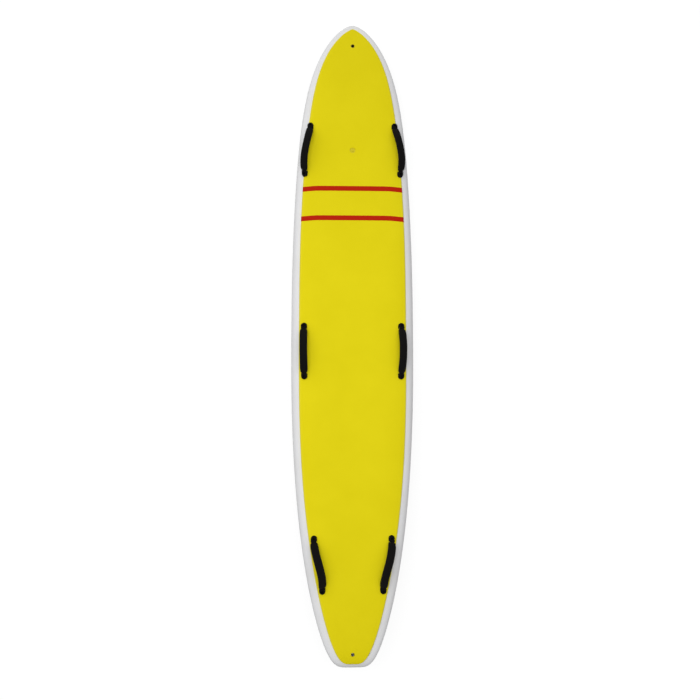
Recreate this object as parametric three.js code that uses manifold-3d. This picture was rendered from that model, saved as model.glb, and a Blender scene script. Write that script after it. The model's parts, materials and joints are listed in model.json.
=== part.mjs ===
// A lifeguard rescue board: a foam-cored paddleboard with a laminated hull, a foam deck pad,
// six padded carrying handles, two leash plugs, a vent plug and a removable centre fin.
// Millimetres. +Y runs to the nose, +X to the right of the deck and +Z up.
// The board lies as it does on level ground, on its belly and on the tip of its fin.

import * as THREE from 'three';
import { mergeVertices } from 'three/addons/utils/BufferGeometryUtils.js';
import Module from 'manifold-3d';

const wasm = await Module();
wasm.setup();

// Hull
const boardLength = 3200;
const boardWidth = 612;
const boardThickness = 145;
const noseThickness = 30;
const tailThickness = 50;
const noseRocker = 140;
const tailRocker = 55;
const skinThickness = 3;
const stringerThickness = 6;
const railHeightShare = 0.42;
const deckSquareness = 4.5;
const bottomSquareness = 3.5;
const noseRockerPower = 3.2;
const tailRockerPower = 2.6;
const noseThinningPower = 2.6;
const tailThinningPower = 2.4;
const endRounding = 60;
const tipShare = 0.9995;

// Plan outlines: the half width falls from the middle, where u is 0, to the end, where u is 1
const hullNosePlan = { taperShare: 0.336, sweep: 2.35, bluntness: 8.87, roundness: 0.652 };
const hullTailPlan = { taperShare: 0.497, sweep: 2.35, bluntness: 6.1, roundness: 0.22 };
const padNosePlan = { taperShare: 0.489, sweep: 2.92, bluntness: 14.7, roundness: 0.76 };
const padTailPlan = { taperShare: 0.7, sweep: 2.7, bluntness: 23, roundness: 0.257 };

// Deck pad
const padThickness = 6;
const padBevel = 5;
const railBandShare = 0.0653;
const padNoseMargin = 24;
const padTailMargin = 21;
const seamLapShare = 0.0064;

// Clearance between pieces that are bonded or fitted together
const fitGap = 0.3;

// Facets
const stationsPerHalf = 11;
const deckFacets = 12;
const bottomFacets = 8;
const roundFacets = 8;
const probeShare = 0.0005;

// Handles
const handleLength = 280;
const capLength = 29;
const capWidth = 30;
const capHeight = 15.5;
const capEndHeight = 7;
const capFlatShare = 0.45;
const mouthHeight = 11;
const strapWidth = 25;
const strapThickness = 3;
const archRise = 37;
const archFullness = 2.2;
const gripWidth = 38;
const gripThickness = 15;
const gripStart = 5;
const gripRounding = 24;
const gripEndShare = 0.76;
const gripFacets = 8;
const archSteps = 7;
const screwPlaceShare = 0.5;
const screwHeadDiameter = 10;
const screwHeadHeight = 3.4;
const screwCrownShare = 0.38;
const screwDiameter = 5;
const screwLength = 32;
const screwSeatHeight = 5;
const driveDiameter = 4.4;
const driveDepth = 2;
const driveSides = 6;
const blockWidth = 46;
const blockLength = 296;
const blockDepth = 30;

// Places of the handles, as shares of the half length and of the hull's half width there
const handlePlaces = [
  { name: 'nose', centreShare: 0.593, frontShare: 0.811, rearShare: 0.85, leftLean: 0, rightLean: -4 },
  { name: 'mid', centreShare: -0.045, frontShare: 0.786, rearShare: 0.78, leftLean: 7, rightLean: 0 },
  { name: 'tail', centreShare: -0.691, frontShare: 0.742, rearShare: 0.68, leftLean: 16, rightLean: 5 },
];

// Leash plugs
const noseLeashInset = 114;
const tailLeashInset = 69;
const cupRimDiameter = 20;
const cupBoreDiameter = 16;
const cupBodyDiameter = 28;
const cupDepth = 24;
const cupFloor = 4;
const cupFacets = 14;
const leashPinDiameter = 3;
const leashPinDepth = 7;

// Vent plug
const ventPlaceShare = 0.591;
const ventFlangeDiameter = 28;
const ventFlangeThickness = 2.5;
const ventBodyDiameter = 16;
const ventBodyLength = 20;
const ventBoreDiameter = 6.6;
const ventSeatDiameter = 12.4;
const ventSeatDepth = 1;
const ventScrewDiameter = 6;
const ventScrewLength = 14;
const ventHeadDiameter = 11;
const ventHeadHeight = 3;
const ventSealDiameter = 9;
const ventSealSection = 1.4;
const sealFacets = 6;
const coinSlotWidth = 1.6;
const coinSlotDepth = 1.6;

// Fin and fin box
const finPlaceShare = 0.7375;
const finBoxLength = 264;
const finBoxWidth = 26;
const finBoxDepth = 26;
const finTabLength = 178;
const finTabThickness = 9;
const finTabDepth = 18;
const finLipLength = 19;
const finLipDepth = 8.6;
const finFoot = 2;
const finTravel = 28;
const finDepth = 120;
const finScrewRoom = 0.75;
const finTipChordShare = 0.36;
const finSweep = 62;
const finSweepPower = 1.35;
const finTaperPower = 1.25;
const finTipRounding = 9;
const finLevels = 8;
const foilSteps = 6;
const slotHeadroom = 1;
const grooveWidth = 15;
const grooveLow = 9;
const grooveHigh = 13.6;
const finPlateLength = 14;
const finPlateThickness = 3;
const finScrewDiameter = 4;
const finScrewHeadDiameter = 7.5;
const finScrewHeadHeight = 2.5;
const finPinDiameter = 4;
const finPinInset = 9;

const halfLength = boardLength / 2;
const halfWidth = boardWidth / 2;
const railBand = boardWidth * railBandShare;
const seamLap = boardWidth * seamLapShare;
const finChord = finTabLength - finLipLength - finScrewHeadDiameter - 2 * finScrewRoom;
const probe = boardLength * probeShare;
const screwClearance = screwDiameter + 2 * fitGap;
const overrun = boardThickness;
const yAxis = new THREE.Vector3(0, 1, 0);

// Finishes, with colours as seen on the board
const finish = {
  pad: new THREE.MeshStandardMaterial({ color: 0xdfcf18, roughness: 0.85, metalness: 0 }),
  laminate: new THREE.MeshStandardMaterial({ color: 0xe9e9e6, roughness: 0.25, metalness: 0 }),
  foam: new THREE.MeshStandardMaterial({ color: 0xf4f4f0, roughness: 0.95, metalness: 0 }),
  wood: new THREE.MeshStandardMaterial({ color: 0xc9a26b, roughness: 0.8, metalness: 0 }),
  block: new THREE.MeshStandardMaterial({ color: 0xd8c9a0, roughness: 0.9, metalness: 0 }),
  webbing: new THREE.MeshStandardMaterial({ color: 0x161514, roughness: 0.8, metalness: 0 }),
  neoprene: new THREE.MeshStandardMaterial({ color: 0x1c1b1a, roughness: 0.9, metalness: 0 }),
  plastic: new THREE.MeshStandardMaterial({ color: 0x141414, roughness: 0.45, metalness: 0 }),
  steel: new THREE.MeshStandardMaterial({ color: 0xb9bcc0, roughness: 0.3, metalness: 1 }),
  vent: new THREE.MeshStandardMaterial({ color: 0xc9c48a, roughness: 0.5, metalness: 0 }),
  rubber: new THREE.MeshStandardMaterial({ color: 0x222222, roughness: 0.9, metalness: 0 }),
  brass: new THREE.MeshStandardMaterial({ color: 0xb08d57, roughness: 0.35, metalness: 1 }),
};

// Solids

function solidOf(geometry) {
  const bare = geometry.clone();
  bare.deleteAttribute('normal');
  bare.deleteAttribute('uv');
  const merged = mergeVertices(bare);
  return new wasm.Manifold(new wasm.Mesh({
    numProp: 3,
    vertProperties: new Float32Array(merged.attributes.position.array),
    triVerts: new Uint32Array(merged.index.array),
  }));
}

function geometryOf(solid) {
  const mesh = solid.getMesh();
  const geometry = new THREE.BufferGeometry();
  geometry.setAttribute('position', new THREE.BufferAttribute(new Float32Array(mesh.vertProperties), 3));
  geometry.setIndex(new THREE.BufferAttribute(new Uint32Array(mesh.triVerts), 1));
  geometry.computeVertexNormals();
  return geometry;
}

function moved(geometry, matrix) {
  return solidOf(geometry.clone().applyMatrix4(matrix));
}

// A closed skin over rings of equal point count, with a flat fan at each end.
// Each ring runs anticlockwise as seen from the last ring.
function loft(rings) {
  const count = rings[0].length;
  const points = rings.flat();
  const faces = [];
  for (let r = 0; r + 1 < rings.length; r++) {
    for (let i = 0; i < count; i++) {
      const a = r * count + i;
      const b = r * count + (i + 1) % count;
      faces.push(a, b, b + count, a, b + count, a + count);
    }
  }
  const last = (rings.length - 1) * count;
  for (let i = 1; i + 1 < count; i++) {
    faces.push(0, i + 1, i);
    faces.push(last, last + i, last + i + 1);
  }
  const geometry = new THREE.BufferGeometry();
  geometry.setAttribute('position', new THREE.Float32BufferAttribute(points.flatMap((p) => p.toArray()), 3));
  geometry.setIndex(faces);
  return geometry;
}

function cylinder(diameter, low, high, sides = roundFacets) {
  const geometry = new THREE.CylinderGeometry(diameter / 2, diameter / 2, high - low, sides);
  return geometry.rotateX(Math.PI / 2).translate(0, 0, (low + high) / 2);
}

function box(width, length, low, high) {
  return new THREE.BoxGeometry(width, length, high - low).translate(0, 0, (low + high) / 2);
}

// Hull form

function planShare(plan, u) {
  const taper = 1 - plan.taperShare * u ** plan.sweep;
  return taper * (1 - u ** plan.bluntness) ** plan.roundness;
}

function hullAt(y, grow = 0) {
  const u = Math.min(Math.abs(y) / halfLength, tipShare);
  const nose = y > 0;
  const half = halfWidth * planShare(nose ? hullNosePlan : hullTailPlan, u);
  const rocker = nose ? noseRocker * u ** noseRockerPower : tailRocker * u ** tailRockerPower;
  const endThickness = nose ? noseThickness : tailThickness;
  const thinning = u ** (nose ? noseThinningPower : tailThinningPower);
  const thickness = boardThickness - (boardThickness - endThickness) * thinning;
  const rounding = Math.sqrt(1 - u ** endRounding);
  const rail = rocker + railHeightShare * thickness;
  return {
    half,
    rail,
    bottom: rail - (railHeightShare * thickness + grow) * rounding,
    top: rail + ((1 - railHeightShare) * thickness + grow) * rounding,
  };
}

function deckHeight(x, y) {
  const { half, rail, top } = hullAt(y);
  const across = Math.min(Math.abs(x) / half, 1);
  return rail + (top - rail) * (1 - across ** deckSquareness) ** (1 / deckSquareness);
}

function padHalfWidth(y) {
  const end = y > 0 ? halfLength - padNoseMargin : halfLength - padTailMargin;
  const u = Math.min(Math.abs(y) / end, tipShare);
  return (halfWidth - railBand) * planShare(y > 0 ? padNosePlan : padTailPlan, u);
}

// Stations from tail to nose, closer together towards the ends
function stations(tailEnd, noseEnd) {
  const list = [];
  for (let i = -stationsPerHalf; i <= stationsPerHalf; i++) {
    const share = Math.sin(i / stationsPerHalf * Math.PI / 2);
    list.push(share < 0 ? -share * tailEnd : share * noseEnd);
  }
  return list;
}

function hull(grow, coarseness = 1) {
  const rings = stations(-halfLength, halfLength).map((y) => {
    const { half, rail, bottom, top } = hullAt(y, grow);
    const ring = [];
    const place = (turn, height, squareness) => {
      const across = Math.sign(Math.cos(turn)) * Math.abs(Math.cos(turn)) ** (2 / squareness);
      const up = Math.abs(Math.sin(turn)) ** (2 / squareness);
      const alongBoard = y * (halfLength + grow) / halfLength;
      ring.push(new THREE.Vector3((half + grow) * across, alongBoard, rail + height * up));
    };
    for (let i = 0; i < deckFacets; i += coarseness) {
      place(Math.PI * i / deckFacets, top - rail, deckSquareness);
    }
    for (let i = 0; i < bottomFacets; i += coarseness) {
      place(Math.PI * (1 + i / bottomFacets), bottom - rail, bottomSquareness);
    }
    return ring.reverse();
  });
  return solidOf(loft(rings));
}

// Everything above the rails' widest line, inside the pad's outline less an inset
function deckRegion(inset) {
  const noseEnd = halfLength - padNoseMargin - inset;
  const tailEnd = halfLength - padTailMargin - inset;
  const rings = stations(-tailEnd, noseEnd).map((y) => {
    const outline = y * (y > 0 ? (halfLength - padNoseMargin) / noseEnd : (halfLength - padTailMargin) / tailEnd);
    const half = Math.max(padHalfWidth(outline) - inset, probe);
    const { rail } = hullAt(y);
    return [
      new THREE.Vector3(-half, y, rail),
      new THREE.Vector3(-half, y, rail + overrun),
      new THREE.Vector3(half, y, rail + overrun),
      new THREE.Vector3(half, y, rail),
    ];
  });
  return solidOf(loft(rings));
}

// The pad's outer form, down into the hull, with its top raised by lift
const padAcrossShares = [0, 0.6, 0.82, 1];

function padForm(lift) {
  const rings = stations(-(halfLength - padTailMargin), halfLength - padNoseMargin).map((y) => {
    const half = padHalfWidth(y) + lift;
    const flat = Math.max(half - padBevel, half / 2);
    const edge = deckHeight(half, y) + fitGap;
    const right = padAcrossShares.map((share) => {
      const x = flat * share;
      return new THREE.Vector3(x, y, deckHeight(x, y) + fitGap + padThickness + lift);
    });
    const left = right.slice(1).reverse().map((p) => new THREE.Vector3(-p.x, y, p.z));
    const lip = padThickness - padBevel + lift;
    const low = hullAt(y).rail;
    return [
      new THREE.Vector3(-half, y, low),
      new THREE.Vector3(-half, y, edge + lip),
      ...left,
      ...right,
      new THREE.Vector3(half, y, edge + lip),
      new THREE.Vector3(half, y, low),
    ];
  });
  return solidOf(loft(rings));
}

// A frame that stands on the pad's top at a point, with its Y along the board
function deckFrame(x, y, lift, heading = 1) {
  const point = (px, py) => new THREE.Vector3(px, py, deckHeight(px, py) + lift);
  const across = point(x + probe, y).sub(point(x - probe, y)).normalize();
  const ahead = point(x, y + probe).sub(point(x, y - probe)).normalize().multiplyScalar(heading);
  const up = across.cross(ahead).multiplyScalar(heading).normalize();
  const side = ahead.clone().cross(up);
  return new THREE.Matrix4().makeBasis(side, ahead, up).setPosition(point(x, y));
}

const board = new THREE.Group();

function addPiece(name, geometry, material, matrix = new THREE.Matrix4()) {
  const mesh = new THREE.Mesh(geometry, material);
  mesh.name = name;
  mesh.applyMatrix4(matrix);
  board.add(mesh);
}

// Handles

const padTop = fitGap + padThickness;

// A cap runs outwards from its mouth, at the frame's origin, to its round end
function capForm(deckSolid, frame, hingeAxis) {
  const inner = -capWidth / 2;
  const outline = new THREE.Shape();
  outline.moveTo(-capWidth / 2, inner);
  outline.lineTo(capWidth / 2, inner);
  outline.lineTo(capWidth / 2, capLength - capWidth / 2);
  outline.absarc(0, capLength - capWidth / 2, capWidth / 2, 0, Math.PI, false);
  const plan = new THREE.ExtrudeGeometry(outline, {
    depth: capHeight + padTop, curveSegments: roundFacets, bevelEnabled: false,
  }).translate(0, 0, -padTop);

  const side = new THREE.Shape();
  side.moveTo(inner, -padTop);
  side.lineTo(capLength, -padTop);
  side.lineTo(capLength, capEndHeight);
  side.lineTo(capLength * capFlatShare, capHeight);
  side.lineTo(inner, capHeight);
  const wedge = new THREE.ExtrudeGeometry(side, { depth: capWidth, bevelEnabled: false });
  wedge.applyMatrix4(new THREE.Matrix4().makeBasis(
    new THREE.Vector3(0, 1, 0), new THREE.Vector3(0, 0, 1), new THREE.Vector3(1, 0, 0),
  )).translate(-capWidth / 2, 0, 0);

  const screwPlace = capLength * screwPlaceShare;
  const hole = cylinder(screwClearance, -padTop, capHeight).translate(0, screwPlace, 0);
  const counterbore = cylinder(screwHeadDiameter + 2 * fitGap, screwSeatHeight, capHeight + overrun);
  counterbore.translate(0, screwPlace, 0);

  const inverse = frame.clone().invert();
  const outward = hingeAxis.clone().transformDirection(inverse);
  if (outward.y < 0) outward.negate();
  const mouth = new THREE.Vector3(0, 0, mouthHeight);
  return solidOf(plan)
    .intersect(solidOf(wedge))
    .subtract(solidOf(hole))
    .subtract(solidOf(counterbore))
    .subtract(deckSolid.transform(inverse.elements))
    .trimByPlane(outward.toArray(), outward.dot(mouth));
}

// A pan head screw with a hexagon drive, its head's underside at zero
function screwForm() {
  const profile = [
    new THREE.Vector2(0, fitGap - screwLength),
    new THREE.Vector2(screwDiameter / 2, fitGap - screwLength + screwDiameter / 2),
    new THREE.Vector2(screwDiameter / 2, fitGap),
    new THREE.Vector2(screwHeadDiameter / 2, fitGap),
    new THREE.Vector2(screwHeadDiameter * screwCrownShare, fitGap + screwHeadHeight),
    new THREE.Vector2(0, fitGap + screwHeadHeight),
  ];
  const body = new THREE.LatheGeometry(profile, roundFacets).rotateX(Math.PI / 2);
  const top = fitGap + screwHeadHeight;
  const drive = cylinder(driveDiameter, top - driveDepth, top + driveDepth, driveSides);
  return solidOf(body).subtract(solidOf(drive));
}

function buildHandle(place, side, deckSolid) {
  const centre = place.centreShare * halfLength;
  const reach = handleLength / 2 - capLength;
  const frontY = centre + reach;
  const rearY = centre - reach;
  const frontX = side * place.frontShare * hullAt(frontY).half;
  const rearX = side * place.rearShare * hullAt(rearY).half;
  const frames = {
    front: deckFrame(frontX, frontY, padTop, 1),
    rear: deckFrame(rearX, rearY, padTop, -1),
  };
  const mouthOf = (frame) => new THREE.Vector3(0, 0, mouthHeight).applyMatrix4(frame);
  const front = mouthOf(frames.front);
  const rear = mouthOf(frames.rear);
  const axis = front.clone().sub(rear).normalize();
  const lean = THREE.MathUtils.degToRad(side < 0 ? place.leftLean : -place.rightLean);
  const upOf = (frame) => new THREE.Vector3().setFromMatrixColumn(frame, 2);
  const meanUp = upOf(frames.front).add(upOf(frames.rear));
  const up = meanUp.addScaledVector(axis, -meanUp.dot(axis)).normalize().applyAxisAngle(axis, lean);
  const across = axis.clone().cross(up);

  // The strap leaves both caps along the board and crosses over between them
  const arch = (share) => {
    const point = rear.clone().lerp(front, share);
    const swing = share * share * (3 - 2 * share) - share;
    const offset = yAxis.clone().multiplyScalar((front.y - rear.y) * swing);
    const shift = front.clone().sub(rear).multiplyScalar(swing).sub(offset);
    const rise = archRise * (1 - Math.abs(2 * share - 1) ** archFullness);
    return point.add(shift).addScaledVector(up, rise);
  };
  const span = front.distanceTo(rear);
  const ring = (share, section, scale = 1) => {
    const centrePoint = arch(share);
    const steepness = 2 * archFullness * Math.abs(2 * share - 1) ** (archFullness - 1) * archRise / span;
    const stretch = Math.sqrt(1 + steepness * steepness);
    return section.map(([a, b]) => centrePoint.clone()
      .addScaledVector(across, a * scale)
      .addScaledVector(up, b * scale * stretch));
  };

  const flatSection = (width, thickness) => [
    [-width / 2, -thickness / 2], [-width / 2, thickness / 2],
    [width / 2, thickness / 2], [width / 2, -thickness / 2],
  ];
  const roundSection = [];
  for (let i = 0; i < gripFacets; i++) {
    const turn = -2 * Math.PI * (i + 0.5) / gripFacets;
    const offset = (gripWidth - gripThickness) / 2 * Math.sign(Math.cos(turn));
    roundSection.push([offset + gripThickness / 2 * Math.cos(turn), gripThickness / 2 * Math.sin(turn)]);
  }

  const steps = Array.from({ length: archSteps + 1 }, (_, i) => i / archSteps);
  const between = (start, share) => start + (1 - 2 * start) * share;
  const strapStart = fitGap / span;
  const strapRings = (width, thickness, start) => steps.map(
    (share) => ring(between(start, share), flatSection(width, thickness)));
  const gripInset = gripStart / span;
  const gripShoulder = (gripStart + gripRounding) / span;
  const gripRings = [
    ring(gripInset, roundSection, gripEndShare),
    ...steps.map((share) => ring(between(gripShoulder, share), roundSection)),
    ring(1 - gripInset, roundSection, gripEndShare),
  ];
  const slotRings = [
    ring(0, flatSection(strapWidth + 2 * fitGap, strapThickness + 2 * fitGap)),
    ...steps.map((share) => ring(between(strapStart, share),
      flatSection(strapWidth + 2 * fitGap, strapThickness + 2 * fitGap))),
    ring(1, flatSection(strapWidth + 2 * fitGap, strapThickness + 2 * fitGap)),
  ];
  const label = `${place.name}_${side < 0 ? 'left' : 'right'}`;
  addPiece(`${label}_strap`, loft(strapRings(strapWidth, strapThickness, strapStart)), finish.webbing);
  const grip = solidOf(loft(gripRings)).subtract(solidOf(loft(slotRings)));
  addPiece(`${label}_grip`, geometryOf(grip), finish.neoprene);

  const screwFrames = Object.entries(frames).map(([end, frame]) => {
    addPiece(`${label}_cap_${end}`, geometryOf(capForm(deckSolid, frame, axis)), finish.plastic, frame);
    const seat = new THREE.Matrix4().makeTranslation(0, capLength * screwPlaceShare, screwSeatHeight);
    const screwFrame = frame.clone().multiply(seat);
    addPiece(`${label}_screw_${end}`, geometryOf(screwForm()), finish.steel, screwFrame);
    return screwFrame;
  });

  // The block lies under the deck along the line between the two screws
  const [frontScrew, rearScrew] = screwFrames.map((m) => new THREE.Vector3().setFromMatrixPosition(m));
  const line = frontScrew.clone().sub(rearScrew).normalize();
  const blockUp = up.clone().addScaledVector(line, -up.dot(line)).normalize();
  const blockFrame = new THREE.Matrix4()
    .makeBasis(line.clone().cross(blockUp), line, blockUp)
    .setPosition(frontScrew.add(rearScrew).multiplyScalar(0.5));
  const underPad = -screwSeatHeight - padTop - skinThickness;
  const block = (grow) => moved(
    box(blockWidth + 2 * grow, blockLength + 2 * grow, underPad - blockDepth - grow, 0), blockFrame);
  const holes = screwFrames.map((m) => moved(cylinder(screwClearance, -screwLength - fitGap, 0), m));
  return { label, block, holes };
}

// Deck fittings

function cupForm() {
  const profile = [
    new THREE.Vector2(0, -cupDepth),
    new THREE.Vector2(cupBodyDiameter / 2, -cupDepth),
    new THREE.Vector2(cupBodyDiameter / 2, -padTop - skinThickness - fitGap),
    new THREE.Vector2(cupRimDiameter / 2, -padTop - skinThickness - fitGap),
    new THREE.Vector2(cupRimDiameter / 2, 0),
    new THREE.Vector2(cupBoreDiameter / 2, 0),
    new THREE.Vector2(cupBoreDiameter / 2, cupFloor - cupDepth),
    new THREE.Vector2(0, cupFloor - cupDepth),
  ];
  return solidOf(new THREE.LatheGeometry(profile, cupFacets).rotateX(Math.PI / 2));
}

function buildLeashPlug(name, y) {
  const frame = deckFrame(0, y, padTop);
  const pinHalf = (cupBoreDiameter + cupRimDiameter) / 4;
  const pin = cylinder(leashPinDiameter, -pinHalf, pinHalf).rotateY(Math.PI / 2);
  const pinHole = cylinder(leashPinDiameter + 2 * fitGap, -pinHalf - fitGap, pinHalf + fitGap);
  pinHole.rotateY(Math.PI / 2).translate(0, 0, -leashPinDepth);
  addPiece(`${name}_leash_cup`, geometryOf(cupForm().subtract(solidOf(pinHole))), finish.plastic, frame);
  const pinFrame = frame.clone().multiply(new THREE.Matrix4().makeTranslation(0, 0, -leashPinDepth));
  addPiece(`${name}_leash_pin`, geometryOf(solidOf(pin)), finish.steel, pinFrame);
  const grown = 2 * fitGap;
  const rimHole = cylinder(cupRimDiameter + grown, -padTop - skinThickness, padTop, cupFacets);
  const bodyHole = cylinder(cupBodyDiameter + grown, -cupDepth - fitGap, -padTop - skinThickness, cupFacets);
  return moved(rimHole, frame).add(moved(bodyHole, frame));
}

function buildVent(y) {
  const frame = deckFrame(0, y, fitGap);
  const flangeTop = ventFlangeThickness + fitGap;
  const seat = flangeTop - ventSeatDepth;
  const sides = cupFacets;
  const flange = solidOf(cylinder(ventFlangeDiameter, fitGap, flangeTop, sides));
  const stem = solidOf(cylinder(ventBodyDiameter, -ventBodyLength, flangeTop, sides));
  const bore = solidOf(cylinder(ventBoreDiameter, -ventBodyLength - overrun, flangeTop + overrun, sides));
  const recess = solidOf(cylinder(ventSeatDiameter, seat, flangeTop + overrun, sides));
  addPiece('vent_body', geometryOf(flange.add(stem).subtract(bore).subtract(recess)), finish.vent, frame);

  const sealRadius = (ventSealDiameter - ventSealSection) / 2;
  const seal = new THREE.TorusGeometry(sealRadius, ventSealSection / 2, sealFacets, sides);
  const sealLift = seat + fitGap + ventSealSection / 2;
  addPiece('vent_seal', geometryOf(solidOf(seal)), finish.rubber,
    frame.clone().multiply(new THREE.Matrix4().makeTranslation(0, 0, sealLift)));

  const headLow = seat + 2 * fitGap + ventSealSection;
  const headTop = headLow + ventHeadHeight;
  const head = solidOf(cylinder(ventHeadDiameter, headLow, headTop, sides));
  const shank = solidOf(cylinder(ventScrewDiameter, headLow - ventScrewLength, headTop, sides));
  const slot = solidOf(box(coinSlotWidth, ventHeadDiameter + coinSlotWidth, headTop - coinSlotDepth, headTop + overrun));
  addPiece('vent_screw', geometryOf(head.add(shank).subtract(slot)), finish.vent, frame);

  const flangeHole = moved(cylinder(ventFlangeDiameter + 2 * fitGap, 0, overrun, sides), frame);
  const stemHole = cylinder(ventBodyDiameter + 2 * fitGap, -ventBodyLength - fitGap, overrun, sides);
  return flangeHole.add(moved(stemHole, frame));
}

// Fin and fin box, in a frame on the keel with its Y along the keel and its Z into the hull

function finFrame() {
  const y = -finPlaceShare * halfLength;
  const rise = hullAt(y + probe).bottom - hullAt(y - probe).bottom;
  const frame = new THREE.Matrix4().makeRotationX(Math.atan2(rise, 2 * probe));
  return frame.setPosition(0, y, hullAt(y).bottom);
}

// Half thickness of a symmetrical foil at a share of its chord, as a share of the chord
function foilHalfShare(x, thicknessShare) {
  const shape = 0.2969 * Math.sqrt(x) - 0.126 * x - 0.3516 * x ** 2 + 0.2843 * x ** 3 - 0.1036 * x ** 4;
  return 5 * thicknessShare * shape;
}

function finBlade() {
  const thicknessShare = finTabThickness / finChord;
  const rings = [];
  for (let level = finLevels; level >= 0; level--) {
    const share = Math.min(Math.sin(level / finLevels * Math.PI / 2), tipShare);
    const taper = 1 - (1 - finTipChordShare) * share ** finTaperPower;
    const chord = finChord * taper * Math.sqrt(1 - share ** finTipRounding);
    const middle = -finSweep * share ** finSweepPower;
    const depth = -finFoot / 2 - (finDepth - finFoot / 2) * share;
    const half = [];
    for (let i = 0; i <= foilSteps; i++) {
      const x = (1 - Math.cos(Math.PI * i / foilSteps)) / 2;
      half.push([x, foilHalfShare(x, thicknessShare) * chord]);
    }
    const right = half.map(([x, t]) => new THREE.Vector3(t, middle + chord * (0.5 - x), depth));
    const left = half.slice(1, -1).reverse()
      .map(([x, t]) => new THREE.Vector3(-t, middle + chord * (0.5 - x), depth));
    rings.push([...right, ...left].reverse());
  }
  return solidOf(loft(rings));
}

function finTab() {
  const half = finTabLength / 2;
  const outline = new THREE.Shape();
  outline.moveTo(-half, -finFoot);
  outline.lineTo(half, -finFoot);
  outline.lineTo(half, finLipDepth);
  outline.lineTo(half - finLipLength, finLipDepth);
  outline.lineTo(half - finLipLength - finLipDepth, finTabDepth);
  outline.lineTo(-half, finTabDepth);
  const tab = new THREE.ExtrudeGeometry(outline, { depth: finTabThickness, bevelEnabled: false });
  tab.applyMatrix4(new THREE.Matrix4().makeBasis(
    new THREE.Vector3(0, 1, 0), new THREE.Vector3(0, 0, 1), new THREE.Vector3(1, 0, 0),
  ));
  return solidOf(tab.translate(-finTabThickness / 2, 0, 0));
}

function buildFin(hullSolid, frame) {
  const inverse = frame.clone().invert();
  const slotLength = finTabLength + 2 * finTravel + 2 * fitGap;
  const slot = box(finTabThickness + 2 * fitGap, slotLength, -overrun, finTabDepth + slotHeadroom);
  const groove = box(grooveWidth, slotLength, grooveLow, grooveHigh);
  const body = solidOf(box(finBoxWidth, finBoxLength, -finBoxDepth, finBoxDepth))
    .intersect(hullSolid.transform(inverse.elements))
    .subtract(solidOf(slot))
    .subtract(solidOf(groove));
  addPiece('fin_box', geometryOf(body), finish.plastic, frame);

  const screwY = finTabLength / 2 - finLipLength / 2;
  const pinY = finPinInset - finTabLength / 2;
  const grooveMiddle = (grooveLow + grooveHigh) / 2;
  const screwHole = cylinder(finScrewDiameter + 2 * fitGap, -overrun, overrun).translate(0, screwY, 0);
  const pinHole = cylinder(finPinDiameter + 2 * fitGap, -grooveWidth, grooveWidth);
  pinHole.rotateY(Math.PI / 2).translate(0, pinY, grooveMiddle);
  const fin = finBlade().add(finTab()).subtract(solidOf(screwHole)).subtract(solidOf(pinHole));
  addPiece('fin', geometryOf(fin), finish.plastic, frame);

  const plateLow = grooveLow + fitGap;
  const plateWidth = grooveWidth - 2 * fitGap;
  const plate = box(plateWidth, finPlateLength, plateLow, plateLow + finPlateThickness);
  const plateSolid = solidOf(plate.translate(0, screwY, 0)).subtract(solidOf(screwHole));
  addPiece('fin_plate', geometryOf(plateSolid), finish.brass, frame);

  const headTop = -finFoot - fitGap;
  const screwHead = cylinder(finScrewHeadDiameter, headTop - finScrewHeadHeight, headTop);
  const screwShank = cylinder(finScrewDiameter, headTop - finScrewHeadHeight / 2, plateLow + finPlateThickness);
  const drive = cylinder(finScrewHeadDiameter / 2, headTop - overrun, headTop - finScrewHeadHeight / 2, driveSides);
  const screw = solidOf(screwHead).add(solidOf(screwShank)).subtract(solidOf(drive));
  addPiece('fin_screw', geometryOf(screw), finish.steel,
    frame.clone().multiply(new THREE.Matrix4().makeTranslation(0, screwY, 0)));

  const pinHalf = grooveWidth / 2 - fitGap;
  const pin = cylinder(finPinDiameter, -pinHalf, pinHalf).rotateY(Math.PI / 2);
  addPiece('fin_pin', geometryOf(solidOf(pin)), finish.brass,
    frame.clone().multiply(new THREE.Matrix4().makeTranslation(0, pinY, grooveMiddle)));

  return moved(box(finBoxWidth + 2 * fitGap, finBoxLength + 2 * fitGap, -overrun, finBoxDepth + fitGap), frame);
}

// Assembly

const outer = hull(0);
const laminate = outer.subtract(hull(-skinThickness));
const padSolid = padForm(0).subtract(hull(fitGap));
const deckClearance = padForm(fitGap).add(hull(fitGap));
const handles = handlePlaces.flatMap((place) => [-1, 1].map((side) => buildHandle(place, side, deckClearance)));
const noseLeash = buildLeashPlug('nose', halfLength - noseLeashInset);
const tailLeash = buildLeashPlug('tail', tailLeashInset - halfLength);
const vent = buildVent(ventPlaceShare * halfLength);
const finSeat = buildFin(outer, finFrame());

const screwHoles = handles.flatMap((handle) => handle.holes);
const fittingHoles = [noseLeash, tailLeash, vent];
const without = (solid, cuts) => cuts.reduce((rest, cut) => rest.subtract(cut), solid);

addPiece('deck_pad', geometryOf(without(padSolid, [...screwHoles, ...fittingHoles])), finish.pad);
const skin = laminate.intersect(deckRegion(seamLap + fitGap / 2));
addPiece('deck_skin', geometryOf(without(skin, [...screwHoles, ...fittingHoles])), finish.laminate);
const shell = laminate.subtract(deckRegion(seamLap - fitGap / 2)).subtract(finSeat);
addPiece('bottom_shell', geometryOf(shell), finish.laminate);

const insideSkin = hull(-skinThickness - fitGap);
for (const handle of handles) {
  const block = without(handle.block(0).intersect(insideSkin), handle.holes);
  addPiece(`${handle.label}_block`, geometryOf(block), finish.block);
}

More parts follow.
